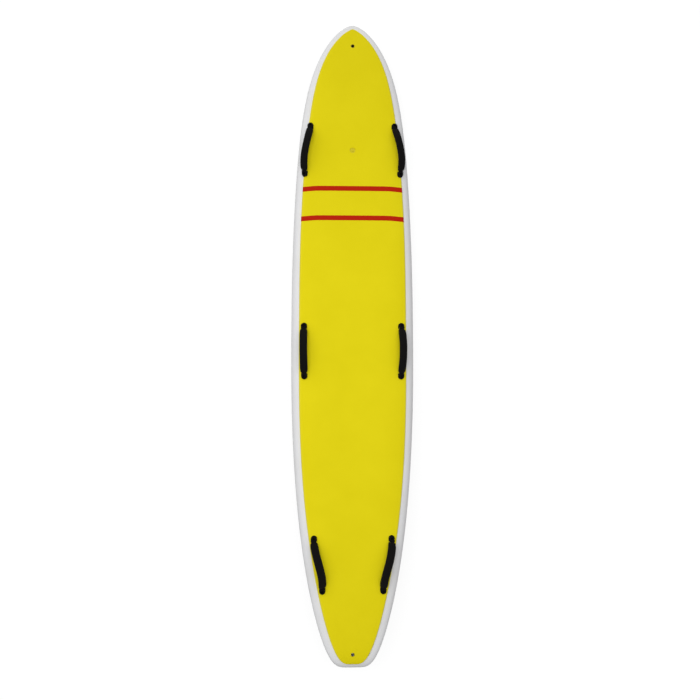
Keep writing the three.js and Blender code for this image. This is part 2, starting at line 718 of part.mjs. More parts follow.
const coreForm = hull(-skinThickness - 2 * fitGap, 2);
const corePockets = [...handles.map((handle) => handle.block(fitGap)), ...fittingHoles, finSeat];
const boxSpan = boardWidth + boardLength;
const halfSpace = (side, from) => solidOf(
  new THREE.BoxGeometry(boxSpan, boxSpan, boxSpan).translate(side * (from + boxSpan / 2), 0, 0));
for (const side of [-1, 1]) {
  const half = coreForm.intersect(halfSpace(side, stringerThickness / 2 + fitGap));
  addPiece(side < 0 ? 'core_left' : 'core_right', geometryOf(without(half, corePockets)), finish.foam);
}
const stringerSlab = solidOf(new THREE.BoxGeometry(stringerThickness, boxSpan, boxSpan));
const stringer = without(coreForm.intersect(stringerSlab), [...fittingHoles, finSeat]);
addPiece('stringer', geometryOf(stringer), finish.wood);

// Rest: the board tips nose down until its belly touches the ground that the fin stands on

function restPitch() {
  const profile = (name) => {
    const mesh = board.getObjectByName(name);
    const position = mesh.geometry.attributes.position;
    return Array.from({ length: position.count }, (_, i) =>
      new THREE.Vector3().fromBufferAttribute(position, i).applyMatrix4(mesh.matrix));
  };
  board.children.forEach((mesh) => mesh.updateMatrix());
  const belly = profile('bottom_shell').filter((p) => p.y > 0);
  const slopes = profile('fin').map((tip) => Math.min(...belly.map((p) => (p.z - tip.z) / (p.y - tip.y))));
  return Math.atan(Math.max(...slopes));
}

board.rotation.x = -restPitch();
const rescueBoard = new THREE.Group();
rescueBoard.name = 'rescue_board';
rescueBoard.add(board);
rescueBoard.updateMatrixWorld(true);
const bounds = new THREE.Box3().setFromObject(rescueBoard, true);
board.position.set(-(bounds.min.x + bounds.max.x) / 2, -(bounds.min.y + bounds.max.y) / 2, -bounds.min.z);
rescueBoard.updateMatrixWorld(true);

export default rescueBoard;
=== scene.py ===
# %% [markdown]
# # A lifeguard rescue board in Blender
# A rescue board is a long foam blank in a hard laminated skin. A yellow foam pad covers its deck,
# and six padded handles let swimmers hold on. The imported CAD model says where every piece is.
# This notebook dresses it: it finishes the pieces whose shape is right already, and rebuilds in
# full smoothness the ones that are curved, soft or turned.

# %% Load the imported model
import json
import math

import bmesh
import bpy
from mathutils import Matrix, Vector
from mathutils.bvhtree import BVHTree


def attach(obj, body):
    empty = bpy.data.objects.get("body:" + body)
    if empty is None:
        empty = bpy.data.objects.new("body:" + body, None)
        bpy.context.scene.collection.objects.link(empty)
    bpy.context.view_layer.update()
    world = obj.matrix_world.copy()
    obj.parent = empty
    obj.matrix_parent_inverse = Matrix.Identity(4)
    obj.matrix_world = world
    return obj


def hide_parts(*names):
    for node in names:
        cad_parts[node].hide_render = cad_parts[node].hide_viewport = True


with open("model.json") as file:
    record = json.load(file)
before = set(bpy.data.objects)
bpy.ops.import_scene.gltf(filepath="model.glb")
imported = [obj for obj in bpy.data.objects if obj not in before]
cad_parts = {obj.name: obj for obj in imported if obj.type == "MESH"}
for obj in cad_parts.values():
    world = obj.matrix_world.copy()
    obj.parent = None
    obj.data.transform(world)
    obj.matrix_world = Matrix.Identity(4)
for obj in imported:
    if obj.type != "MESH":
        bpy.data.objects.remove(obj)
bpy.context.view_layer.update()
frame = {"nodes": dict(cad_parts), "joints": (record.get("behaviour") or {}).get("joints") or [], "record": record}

joints = {joint["name"]: joint for joint in frame["joints"]}

# %% [markdown]
# ## The hull as a formula
# A board shaper draws three curves: the plan outline, the rocker line seen from the side, and the
# section across. Each can be written as a short formula. The numbers are the real board's, in
# millimetres, and they are the same ones that the CAD solids come from, so pieces made here lie
# on those solids.

# %% Hull sizes
MM = 0.001
LENGTH = 3200 * MM
WIDTH = 612 * MM
THICKNESS = 145 * MM
NOSE = {"rocker": 140 * MM, "lift_power": 3.2, "thickness": 30 * MM, "thin_power": 2.6}
TAIL = {"rocker": 55 * MM, "lift_power": 2.6, "thickness": 50 * MM, "thin_power": 2.4}
HULL_NOSE_PLAN = {"taper": 0.336, "sweep": 2.35, "bluntness": 8.87, "roundness": 0.652}
HULL_TAIL_PLAN = {"taper": 0.497, "sweep": 2.35, "bluntness": 6.1, "roundness": 0.22}
RAIL_SHARE = 0.42
DECK_POWER = 4.5
BOTTOM_POWER = 3.5
END_ROUNDING = 60
HALF_LENGTH = LENGTH / 2
FIT_GAP = 0.3 * MM
PROBE = LENGTH * 0.0005


def plan_share(plan, u):
    """Half width at a share u of the way to the end, as a share of the widest half width."""
    taper = 1 - plan["taper"] * u ** plan["sweep"]
    return taper * max(1 - u ** plan["bluntness"], 0) ** plan["roundness"]


def section(y):
    """Half width, height of the widest line, and heights of the bottom and top, at y."""
    end, plan = (NOSE, HULL_NOSE_PLAN) if y > 0 else (TAIL, HULL_TAIL_PLAN)
    u = min(abs(y) / HALF_LENGTH, 1)
    thick = THICKNESS - (THICKNESS - end["thickness"]) * u ** end["thin_power"]
    rounding = math.sqrt(1 - u ** END_ROUNDING)
    rail = end["rocker"] * u ** end["lift_power"] + RAIL_SHARE * thick
    low = rail - RAIL_SHARE * thick * rounding
    high = rail + (1 - RAIL_SHARE) * thick * rounding
    return WIDTH / 2 * plan_share(plan, u), rail, low, high


def deck_height(x, y):
    """Height of the deck over a place on the level board."""
    half, rail, _, high = section(y)
    across = min(abs(x) / max(half, PROBE), 1)
    return rail + (high - rail) * (1 - across ** DECK_POWER) ** (1 / DECK_POWER)


print("height of the deck amidships", round(deck_height(0, 0), 4))

# %% [markdown]
# ## From the shaper's bench to the ground
# The formulas stand the board level, but on the ground it tips nose down, on its belly and on
# the tip of its fin. Two joints of the CAD model tell how far: the fin slides along the keel,
# and the vent screw turns about a point on the deck.

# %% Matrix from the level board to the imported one
VENT_Y = 0.591 * HALF_LENGTH
FIN_Y = -0.7375 * HALF_LENGTH


def keel_slope(y):
    """Rise of the keel line for each length along the board, at y."""
    return (section(y + PROBE)[2] - section(y - PROBE)[2]) / (2 * PROBE)


slide = joints["fin_slide"]["axis"]
pitch = math.atan2(slide[2], slide[1]) - math.atan(keel_slope(FIN_Y))
tipped = Matrix.Rotation(pitch, 4, "X")
vent_foot = Vector((0, VENT_Y, deck_height(0, VENT_Y) + FIT_GAP))
BOARD = Matrix.Translation(Vector(joints["vent_turn"]["pos_m"]) - tipped @ vent_foot) @ tipped
print("pitch in degrees", round(math.degrees(pitch), 4))
print("shift", [round(v, 5) for v in BOARD.translation])

# %% [markdown]
# ## The camera and the light
# The photograph looks almost straight down from about four metres, a little from the left and
# from the tail. The lens and the small shift bring the board to the same place in the frame.
# The handles throw short shadows, so the main light is a long soft box almost overhead. A second
# one stands low beyond the nose on the left, where it skims over the pad. The room fills the
# rest, and it too is lighter beyond the nose and on the left, so that the left rail and the nose
# are bright and the right rail and the tail stay darker.

# %% Camera
CAMERA_DISTANCE = 4.0
FOCAL_PIXELS = 808.99
IMAGE_PIXELS = 700
CENTRE_PIXELS = (352.73, 336.51)
AIM = Vector((0, 0, THICKNESS))
camera_right = Vector((0.99938, -0.0008, 0.0351))
camera_up = Vector((-0.00267, 0.9951, 0.09884))
camera_back = camera_right.cross(camera_up).normalized()
pose = Matrix((camera_right, camera_up, camera_back)).transposed().to_4x4()
pose.translation = AIM + camera_back * CAMERA_DISTANCE

lens = bpy.data.cameras.new("camera")
lens.sensor_width = 36
lens.lens = lens.sensor_width * FOCAL_PIXELS / IMAGE_PIXELS
lens.shift_x = (IMAGE_PIXELS / 2 - CENTRE_PIXELS[0]) / IMAGE_PIXELS
lens.shift_y = (CENTRE_PIXELS[1] - IMAGE_PIXELS / 2) / IMAGE_PIXELS
camera = bpy.data.objects.new("camera", lens)
camera.matrix_world = BOARD @ pose
bpy.context.scene.collection.objects.link(camera)
bpy.context.scene.camera = camera
bpy.context.scene.view_settings.view_transform = "Standard"
print("camera at", [round(v, 3) for v in camera.matrix_world.translation])
print("lens in mm", round(lens.lens, 2))

# %% [markdown]
# ## How materials are written
# A colour is noted the way a picture shows it, as a hex value, and one function turns it to the
# linear light that the shader works in. One more function adds a shader node with its settings
# and its links. Patterns are sized in real millimetres: a noise whose scale is 400 per metre has
# grains of 2.5 mm. The wave texture packs more bands into the same scale, so it has its own sum.

# %% Colour and node helpers


def linear(hex_colour):
    """An sRGB hex value as linear red, green, blue and alpha."""
    parts = [int(hex_colour[i:i + 2], 16) / 255 for i in (1, 3, 5)]
    return (*[c / 12.92 if c <= 0.04045 else ((c + 0.055) / 1.055) ** 2.4 for c in parts], 1)


def add(tree, kind, inputs=None, **settings):
    """Adds a node. Each input is a constant or the output socket of another node."""
    made = tree.nodes.new(kind)
    for name, value in settings.items():
        setattr(made, name, value)
    for name, value in (inputs or {}).items():
        if isinstance(value, bpy.types.NodeSocket):
            tree.links.new(value, made.inputs[name])
        else:
            made.inputs[name].default_value = value
    return made


def new_finish(name, **constants):
    """A material with one Principled shader. Constants go straight on to its own sockets."""
    made = bpy.data.materials.new(name)
    made.use_nodes = True
    shader = made.node_tree.nodes["Principled BSDF"]
    for socket, value in constants.items():
        shader.inputs[socket.replace("_", " ")].default_value = value
    return made, made.node_tree, shader


def per_metre(size):
    """The scale at which a noise or a cell pattern has grains of a given size."""
    return 1 / size


def waves_per_metre(size):
    """The scale at which a wave texture's bands lie a given size apart. Its wave turns through
    20 radians over each unit of scaled length."""
    return math.tau / 20 / size


print("scale of a 2.5 mm grain", round(per_metre(2.5 * MM), 1))
print("scale of bands 1 mm apart", round(waves_per_metre(MM), 1))

# %% Room light
ROOM_LEVEL = 0.24
ROOM_SLOPE = (-0.16, 0.36, 0.48)


def light_path_share(tree):
    """One where a camera, mirror or glass ray meets the surface, and nought for other light."""
    path = add(tree, "ShaderNodeLightPath")
    mirror = add(tree, "ShaderNodeMath", {
        0: path.outputs["Is Camera Ray"], 1: path.outputs["Is Glossy Ray"]}, operation="MAXIMUM")
    return add(tree, "ShaderNodeMath", {
        0: mirror.outputs[0], 1: path.outputs["Is Transmission Ray"]}, operation="MAXIMUM").outputs[0]


world = bpy.data.worlds.new("studio")
world.use_nodes = True
bpy.context.scene.world = world
sky = world.node_tree
# The room's light in a direction is a level plus that direction times a slope: the most comes
# from the ceiling, and the walls fall off to dark beyond the tail, which draws the rails' outlines
outward = add(sky, "ShaderNodeTexCoord").outputs["Generated"]
lighter = add(sky, "ShaderNodeVectorMath", {0: outward, 1: ROOM_SLOPE}, operation="DOT_PRODUCT")
room = add(sky, "ShaderNodeMath", {
    0: lighter.outputs["Value"], 1: ROOM_LEVEL}, operation="ADD", use_clamp=True)
strength = add(sky, "ShaderNodeMapRange", {
    "Value": light_path_share(sky), "To Min": room.outputs[0], "To Max": 1.0})
sky.links.new(strength.outputs[0], sky.nodes["Background"].inputs["Strength"])
sky.nodes["Background"].inputs["Color"].default_value = (1, 1, 1, 1)
print("room level", ROOM_LEVEL, "slope", ROOM_SLOPE)

# %% Paper floor
# The floor is a lit sheet of matt paper. It keeps the board's soft shadow, it glows to the
# camera so that it reads as white without throwing that light up at the rails, and it is clear
# from below, so the belly can be looked at.
FLOOR_HALF_SIZE = 40
FLOOR_GLOW = 0.88
paper = bpy.data.materials.new("white_paper_floor")
paper.use_nodes = True
tree = paper.node_tree
tree.nodes.clear()
matt = add(tree, "ShaderNodeBsdfDiffuse", {"Color": linear("#747474")})
glow_level = add(tree, "ShaderNodeMath", {
    0: light_path_share(tree), 1: FLOOR_GLOW}, operation="MULTIPLY")
glow = add(tree, "ShaderNodeEmission", {"Strength": glow_level.outputs[0]})
lit = add(tree, "ShaderNodeAddShader", {0: matt.outputs[0], 1: glow.outputs[0]})
clear = add(tree, "ShaderNodeBsdfTransparent")
under = add(tree, "ShaderNodeNewGeometry")
sides = add(tree, "ShaderNodeMixShader", {
    0: under.outputs["Backfacing"], 1: lit.outputs[0], 2: clear.outputs[0]})
add(tree, "ShaderNodeOutputMaterial", {"Surface": sides.outputs[0]})

ground = bmesh.new()
bmesh.ops.create_grid(ground, x_segments=1, y_segments=1, size=FLOOR_HALF_SIZE)
floor_mesh = bpy.data.meshes.new("floor")
ground.to_mesh(floor_mesh)
ground.free()
floor = bpy.data.objects.new("floor", floor_mesh)
floor.data.materials.append(paper)
bpy.context.scene.collection.objects.link(floor)
print("floor", 2 * FLOOR_HALF_SIZE, "m wide, glow", FLOOR_GLOW)


# %% Lamps
def soft_lamp(name, place, size, watts):
    """A large oblong lamp that faces the middle of the board."""
    data = bpy.data.lights.new(name, "AREA")
    data.shape = "RECTANGLE"
    data.size, data.size_y = size
    data.energy = watts
    lamp = bpy.data.objects.new(name, data)
    lamp.location = place
    lamp.rotation_euler = (AIM - Vector(place)).to_track_quat("-Z", "Y").to_euler()
    bpy.context.scene.collection.objects.link(lamp)
    print(name, "at", place, "watts", watts)


soft_lamp("top_lamp", place=(-0.35, 0.0, 4.4), size=(1.4, 3.6), watts=66)
soft_lamp("low_lamp", place=(-4.6, 3.4, 2.4), size=(3.0, 6.0), watts=40)

# %% [markdown]
# ## Finishes
# Each finish starts from what the real surface is and how it was made, because that decides what
# the eye sees: foam is matt and pebbled, a sprayed gel coat glossy and a little wavy, webbing
# ribbed. A picture of each surface could be laid on instead, but a pattern worked out by the
# shader stays sharp close up and keeps its real size wherever it lies.

# %% Deck foam
STRIPE_PLACES = (748.5 * MM, 597.3 * MM)
STRIPE_WIDTH = 25 * MM
STRIPE_SWEEP = 4 * MM
SWEEP_FROM, SWEEP_TO = 170 * MM, 262 * MM
PRINT_EDGE = 0.5 * MM


def deck_foam():
    """EVA foam sheet, closed cell and hot rolled: quite matt, with a fine pebble. Two red
    stripes are printed across it, and the routed edge shows paler, open cells."""
    made, tree, shader = new_finish("eva_foam_sheet", Specular_IOR_Level=0.12)
    where = add(tree, "ShaderNodeTexCoord").outputs["Object"]
    level = add(tree, "ShaderNodeMapping", {
        "Vector": where, "Location": BOARD.inverted().translation,
        "Rotation": (-pitch, 0, 0)})
    spot = add(tree, "ShaderNodeSeparateXYZ", {0: level.outputs[0]})
    # Towards the rails, where the sheet is pulled down over the deck's shoulders, the bands
    # sweep back a few millimetres
    out = add(tree, "ShaderNodeMath", {0: spot.outputs["X"]}, operation="ABSOLUTE")
    sweep = add(tree, "ShaderNodeMapRange", {
        "Value": out.outputs[0], "From Min": SWEEP_FROM, "From Max": SWEEP_TO,
        "To Max": STRIPE_SWEEP}, interpolation_type="SMOOTHSTEP")
    along = add(tree, "ShaderNodeMath", {
        0: spot.outputs["Y"], 1: sweep.outputs[0]}, operation="ADD").outputs[0]
    # Ink bleeds a little on foam, so each band's edge is a millimetre wide
    bands = None
    for place in STRIPE_PLACES:
        away = add(tree, "ShaderNodeMath", {0: along, 1: place}, operation="SUBTRACT")
        off = add(tree, "ShaderNodeMath", {0: away.outputs[0]}, operation="ABSOLUTE")
        band = add(tree, "ShaderNodeMapRange", {
            "Value": off.outputs[0], "From Min": STRIPE_WIDTH / 2 + PRINT_EDGE,
            "From Max": STRIPE_WIDTH / 2 - PRINT_EDGE}).outputs[0]
        bands = band if bands is None else add(
            tree, "ShaderNodeMath", {0: bands, 1: band}, operation="MAXIMUM").outputs[0]
    # Sun and salt water fade the yellow in broad, faint clouds
    clouds = add(tree, "ShaderNodeTexNoise", {
        "Vector": where, "Scale": per_metre(180 * MM), "Detail": 3.0, "Roughness": 0.55})
    fade = add(tree, "ShaderNodeMapRange", {
        "Value": clouds.outputs[0], "From Min": 0.3, "From Max": 0.7})
    yellow = add(tree, "ShaderNodeMix", {
        "Factor": fade.outputs[0], "A": linear("#E7D706"), "B": linear("#EBDB0F")}, data_type="RGBA")
    # Pebble of about 2.5 mm, coarser than the real half millimetre so that it shows
    pebble = add(tree, "ShaderNodeTexVoronoi", {
        "Vector": where, "Scale": per_metre(2.5 * MM)}, feature="SMOOTH_F1")
    dusty = add(tree, "ShaderNodeMapRange", {
        "Value": pebble.outputs["Distance"], "From Min": 0.2, "From Max": 0.8,
        "To Min": 0.0, "To Max": 0.05})
    pebbled = add(tree, "ShaderNodeMix", {
        "Factor": dusty.outputs[0], "A": yellow.outputs["Result"], "B": linear("#A89A20")},
        data_type="RGBA")
    edge = add(tree, "ShaderNodeAttribute", attribute_name="routed_edge").outputs["Fac"]
    pale = add(tree, "ShaderNodeMix", {
        "Factor": edge, "A": pebbled.outputs["Result"], "B": linear("#EADF62")}, data_type="RGBA")
    red = add(tree, "ShaderNodeMix", {
        "Factor": bands, "A": pale.outputs["Result"], "B": linear("#BA1E00")}, data_type="RGBA")
    tree.links.new(red.outputs["Result"], shader.inputs["Base Color"])
    rough = add(tree, "ShaderNodeMapRange", {
        "Value": clouds.outputs[0], "To Min": 0.68, "To Max": 0.86})
    tree.links.new(rough.outputs[0], shader.inputs["Roughness"])
    bump = add(tree, "ShaderNodeBump", {
        "Height": pebble.outputs["Distance"], "Strength": 0.8, "Distance": 0.5 * MM})
    tree.links.new(bump.outputs[0], shader.inputs["Normal"])
    return made


print("stripes", len(STRIPE_PLACES), "of", round(STRIPE_WIDTH / MM, 1), "mm")


# %% Laminate
def gel_coat():
    """Glass cloth in epoxy under a sprayed white gel coat: hard, glossy and slightly wavy, with
    hair scratches from sand and trolleys that dull it in streaks along the board."""
    made, tree, shader = new_finish("white_gel_coat", Specular_IOR_Level=0.3, Coat_Weight=0.12,
                                    Coat_Roughness=0.08)
    where = add(tree, "ShaderNodeTexCoord").outputs["Object"]
    streaked = add(tree, "ShaderNodeMapping", {"Vector": where, "Scale": (1, 0.06, 1)})
    scratches = add(tree, "ShaderNodeTexNoise", {
        "Vector": streaked.outputs[0], "Scale": per_metre(1.5 * MM), "Detail": 4.0})
    rough = add(tree, "ShaderNodeMapRange", {
        "Value": scratches.outputs[0], "From Min": 0.35, "From Max": 0.75,
        "To Min": 0.2, "To Max": 0.36})
    tree.links.new(rough.outputs[0], shader.inputs["Roughness"])
    grime = add(tree, "ShaderNodeTexNoise", {
        "Vector": where, "Scale": per_metre(140 * MM), "Detail": 5.0, "Roughness": 0.6})
    share = add(tree, "ShaderNodeMapRange", {
        "Value": grime.outputs[0], "From Min": 0.45, "From Max": 0.8, "To Max": 0.35})
    white = add(tree, "ShaderNodeMix", {
        "Factor": share.outputs[0], "A": linear("#E9E9EA"), "B": linear("#DDDCD9")},
        data_type="RGBA")
    tree.links.new(white.outputs["Result"], shader.inputs["Base Color"])
    peel = add(tree, "ShaderNodeTexNoise", {"Vector": where, "Scale": per_metre(9 * MM)})
    bump = add(tree, "ShaderNodeBump", {
        "Height": peel.outputs[0], "Strength": 0.05, "Distance": 0.2 * MM})
    tree.links.new(bump.outputs[0], shader.inputs["Normal"])
    return made


# %% Webbing and sleeve
def webbing():
    """Nylon webbing, woven flat: ribs run across it a millimetre apart and warp threads along
    it 0.6 mm apart, and the raised threads catch a dull light."""
    made, tree, shader = new_finish("woven_nylon_webbing", Sheen_Weight=0.03, Sheen_Roughness=0.4,
                                    Specular_IOR_Level=0.1)
    where = add(tree, "ShaderNodeUVMap", uv_map="UVMap").outputs[0]
    ribs = add(tree, "ShaderNodeTexWave", {
        "Vector": where, "Scale": waves_per_metre(1.0 * MM), "Distortion": 0.4},
        bands_direction="Y")
    warp = add(tree, "ShaderNodeTexWave", {
        "Vector": where, "Scale": waves_per_metre(0.63 * MM), "Distortion": 0.2},
        bands_direction="X")
    weave = add(tree, "ShaderNodeMath", {
        0: ribs.outputs["Fac"], 1: warp.outputs["Fac"]}, operation="MULTIPLY")
    colour = add(tree, "ShaderNodeMix", {
        "Factor": weave.outputs[0], "A": linear("#090808"), "B": linear("#171615")},
        data_type="RGBA")
    tree.links.new(colour.outputs["Result"], shader.inputs["Base Color"])
    rough = add(tree, "ShaderNodeMapRange", {
        "Value": weave.outputs[0], "To Min": 0.85, "To Max": 0.6})
    tree.links.new(rough.outputs[0], shader.inputs["Roughness"])
    bump = add(tree, "ShaderNodeBump", {
        "Height": weave.outputs[0], "Strength": 0.6, "Distance": 0.35 * MM})
    tree.links.new(bump.outputs[0], shader.inputs["Normal"])
    return made


def jersey_neoprene():
    """Foam rubber with a knitted nylon face: soft, black and quite matt. The knit's columns run
    along the sleeve, drawn every 1.1 mm instead of 0.8 so that they show."""
    made, tree, shader = new_finish("jersey_faced_neoprene", Sheen_Weight=0.02,
                                    Sheen_Roughness=0.55, Specular_IOR_Level=0.08)
    where = add(tree, "ShaderNodeUVMap", uv_map="UVMap").outputs[0]
    columns = add(tree, "ShaderNodeTexWave", {
        "Vector": where, "Scale": waves_per_metre(1.13 * MM), "Distortion": 0.6, "Detail": 1.0},
        bands_direction="X")
    loops = add(tree, "ShaderNodeTexWave", {
        "Vector": where, "Scale": waves_per_metre(0.88 * MM), "Distortion": 0.8},
        bands_direction="Y")
    knit = add(tree, "ShaderNodeMath", {
        0: columns.outputs["Fac"], 1: loops.outputs["Fac"]}, operation="MULTIPLY")
    worn = add(tree, "ShaderNodeTexNoise", {
        "Vector": where, "Scale": per_metre(16 * MM), "Detail": 3.0})
    dusty = add(tree, "ShaderNodeMix", {
        "Factor": worn.outputs[0], "A": linear("#100F0E"), "B": linear("#171616")},
        data_type="RGBA")
    colour = add(tree, "ShaderNodeMix", {
        "Factor": knit.outputs[0], "A": linear("#0A0908"), "B": dusty.outputs["Result"]},
        data_type="RGBA")
    tree.links.new(colour.outputs["Result"], shader.inputs["Base Color"])
    rough = add(tree, "ShaderNodeMapRange", {
        "Value": worn.outputs[0], "To Min": 0.78, "To Max": 0.95})
    tree.links.new(rough.outputs[0], shader.inputs["Roughness"])
    bump = add(tree, "ShaderNodeBump", {
        "Height": knit.outputs[0], "Strength": 0.45, "Distance": 0.3 * MM})
    tree.links.new(bump.outputs[0], shader.inputs["Normal"])
    return made


# %% Grained finishes
def grained(name, dark, light, grain, depth, rough, **constants):
    """A finish whose colour, gloss and height all come from one fine noise of a real size."""
    made, tree, shader = new_finish(name, **constants)
    where = add(tree, "ShaderNodeTexCoord").outputs["Object"]
    noise = add(tree, "ShaderNodeTexNoise", {
        "Vector": where, "Scale": per_metre(grain), "Detail": 3.0})
    spread = add(tree, "ShaderNodeMapRange", {
        "Value": noise.outputs[0], "From Min": 0.3, "From Max": 0.7})
    colour = add(tree, "ShaderNodeMix", {
        "Factor": spread.outputs[0], "A": linear(dark), "B": linear(light)}, data_type="RGBA")
    tree.links.new(colour.outputs["Result"], shader.inputs["Base Color"])
    gloss = add(tree, "ShaderNodeMapRange", {
        "Value": noise.outputs[0], "To Min": rough[0], "To Max": rough[1]})
    tree.links.new(gloss.outputs[0], shader.inputs["Roughness"])
    bump = add(tree, "ShaderNodeBump", {
        "Height": noise.outputs[0], "Strength": 0.5, "Distance": depth})
    tree.links.new(bump.outputs[0], shader.inputs["Normal"])
    return made


def yellowed_acetal():
    """A moulded acetal plug, once natural white and now yellowed, with painted shade: the cup's
    inside is coloured dark olive for the shade that falls in the bore."""
    made, tree, shader = new_finish("yellowed_acetal", IOR=1.48, Specular_IOR_Level=0.2)
    where = add(tree, "ShaderNodeTexCoord").outputs["Object"]
    cloudy = add(tree, "ShaderNodeTexNoise", {
        "Vector": where, "Scale": per_metre(3 * MM), "Detail": 3.0})
    rim = add(tree, "ShaderNodeMix", {
        "Factor": cloudy.outputs[0], "A": linear("#CDBF30"), "B": linear("#D9CC45")},
        data_type="RGBA")
    # Painted shade: the points marked inside the bore turn dark olive
    soiled = add(tree, "ShaderNodeAttribute", attribute_name="soiled").outputs["Fac"]
    colour = add(tree, "ShaderNodeMix", {
        "Factor": soiled, "A": rim.outputs["Result"], "B": linear("#463C10")}, data_type="RGBA")
    tree.links.new(colour.outputs["Result"], shader.inputs["Base Color"])
    rough = add(tree, "ShaderNodeMapRange", {
        "Value": cloudy.outputs[0], "To Min": 0.35, "To Max": 0.55})
    tree.links.new(rough.outputs[0], shader.inputs["Roughness"])
    bump = add(tree, "ShaderNodeBump", {
        "Height": cloudy.outputs[0], "Strength": 0.3, "Distance": 0.05 * MM})
    tree.links.new(bump.outputs[0], shader.inputs["Normal"])
    return made


FINISH = {
    "deck_foam": deck_foam(),
    "laminate": gel_coat(),
    "webbing": webbing(),
    "neoprene": jersey_neoprene(),
    # Glass-filled nylon from a spark-eroded mould: satin black with a fine even grain
    "cap_plastic": grained("moulded_nylon", "#0A0909", "#111010", grain=0.7 * MM,
                           depth=0.06 * MM, rough=(0.65, 0.8), Specular_IOR_Level=0.05),
    # Stainless steel, chemically blackened so that it doesn't flash in the sun
    "screw_steel": grained("blackened_steel", "#0B0B0C", "#131314", grain=0.5 * MM,
                           depth=0.02 * MM, rough=(0.3, 0.45), Metallic=1.0),
    "plug_plastic": yellowed_acetal(),
    # Drawn stainless wire, coloured a dark brown that paints the shade of the bore it lies in
    "pin_steel": grained("tarnished_stainless", "#1A1612", "#28221B", grain=0.6 * MM,
                         depth=0.02 * MM, rough=(0.4, 0.55), Metallic=1.0),
    # Nylon vent, once white and now yellowed, close to the pad in colour
    "vent_plastic": grained("yellowed_nylon", "#D8CA26", "#E0D233", grain=1.0 * MM,
                            depth=0.04 * MM, rough=(0.6, 0.75), Specular_IOR_Level=0.12),
    # Nitrile seal: black, matt and slightly chalky
    "seal_rubber": grained("nitrile_rubber", "#131313", "#1E1E1E", grain=0.6 * MM,
                           depth=0.04 * MM, rough=(0.75, 0.9), IOR=1.52),
    # Fin box: polycarbonate blend, moulded and then sanded flush with the hull
    "box_plastic": grained("sanded_polycarbonate", "#17171A", "#232326", grain=0.9 * MM,
                           depth=0.06 * MM, rough=(0.5, 0.7), IOR=1.58),
    # Fin: glass-filled nylon with flow marks of short fibres
    "fin_plastic": grained("fibre_filled_nylon", "#101114", "#1C1D21", grain=1.6 * MM,
                           depth=0.05 * MM, rough=(0.32, 0.5), IOR=1.53),
    # Naval brass plate and pin, tumbled smooth
    "plate_brass": grained("tumbled_brass", "#A98748", "#BF9C57", grain=0.8 * MM,
                           depth=0.03 * MM, rough=(0.28, 0.42), Metallic=1.0),
    # Expanded polystyrene: round beads about 4 mm wide, pressed together
    "core_foam": grained("expanded_polystyrene", "#E4E4E0", "#F4F4F1", grain=4.0 * MM,
                         depth=0.5 * MM, rough=(0.85, 0.95)),
    # High density PVC foam under the handles, tan and finely porous
    "block_foam": grained("pvc_foam", "#CDBB8C", "#DCCDA2", grain=1.2 * MM, depth=0.15 * MM,
                          rough=(0.85, 0.95)),
}


# %% Stringer wood
def spruce():
    """Quarter-sawn spruce: fine growth lines 1.6 mm apart that run the length of the board."""
    made, tree, shader = new_finish("sawn_spruce", Specular_IOR_Level=0.3)
    where = add(tree, "ShaderNodeTexCoord").outputs["Object"]
    drawn = add(tree, "ShaderNodeMapping", {"Vector": where, "Scale": (1, 0.05, 1)})
    lines = add(tree, "ShaderNodeTexWave", {
        "Vector": drawn.outputs[0], "Scale": waves_per_metre(1.57 * MM), "Distortion": 3.0,
        "Detail": 3.0}, bands_direction="Z")
    colour = add(tree, "ShaderNodeMix", {
        "Factor": lines.outputs["Fac"], "A": linear("#B98F58"), "B": linear("#D9B783")},
        data_type="RGBA")
    tree.links.new(colour.outputs["Result"], shader.inputs["Base Color"])
    rough = add(tree, "ShaderNodeMapRange", {
        "Value": lines.outputs["Fac"], "To Min": 0.8, "To Max": 0.62})
    tree.links.new(rough.outputs[0], shader.inputs["Roughness"])
    bump = add(tree, "ShaderNodeBump", {
        "Height": lines.outputs["Fac"], "Strength": 0.3, "Distance": 0.1 * MM})
    tree.links.new(bump.outputs[0], shader.inputs["Normal"])
    return made


FINISH["stringer_wood"] = spruce()
print("finishes", len(FINISH))

# %% [markdown]
# ## Finishing the CAD pieces
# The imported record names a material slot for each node. Every node gets its slot's finish, also
# those inside the hull, so that the board can be taken apart and still look right.

# %% Put finishes on the nodes
slot_of = {part["node"]: part["material_slot"] for part in frame["record"]["subparts"]}
for name, node in frame["nodes"].items():
    node.data.materials.clear()
    node.data.materials.append(FINISH[slot_of[name]])
print("nodes finished", len(slot_of))

# %% [markdown]
# ## Two ways to make a smooth piece
# Long curved pieces are wrapped: an even grid of faces is bent until each of its points lies
# where a formula says, as a sheet of glass cloth is laid over a blank. Round pieces are turned:
# a profile is spun about its axis, as on a lathe. Each finished piece keeps its object at the
# origin, with its place in its mesh.

# %% Shape helpers
WRAP_JOIN = 0.02 * MM
TURN_JOIN = 0.005 * MM
TURN_STEPS = 48


def wrap(across, along, place, cloth=None):
    """A grid of faces with each point moved to place(u, v), where u and v run from -1 to 1.
    cloth is the size of the woven sheet, which scales the weave through the UV map."""
    made = bmesh.new()
    uv = made.loops.layers.uv.new("UVMap")
    bmesh.ops.create_grid(made, x_segments=across, y_segments=along, size=1, calc_uvs=True)
    if cloth:
        for face in made.faces:
            for corner in face.loops:
                share = corner[uv].uv
                corner[uv].uv = (share.x * cloth[0], share.y * cloth[1])
    for vert in made.verts:
        vert.co = place(vert.co.x, vert.co.y)
    return made


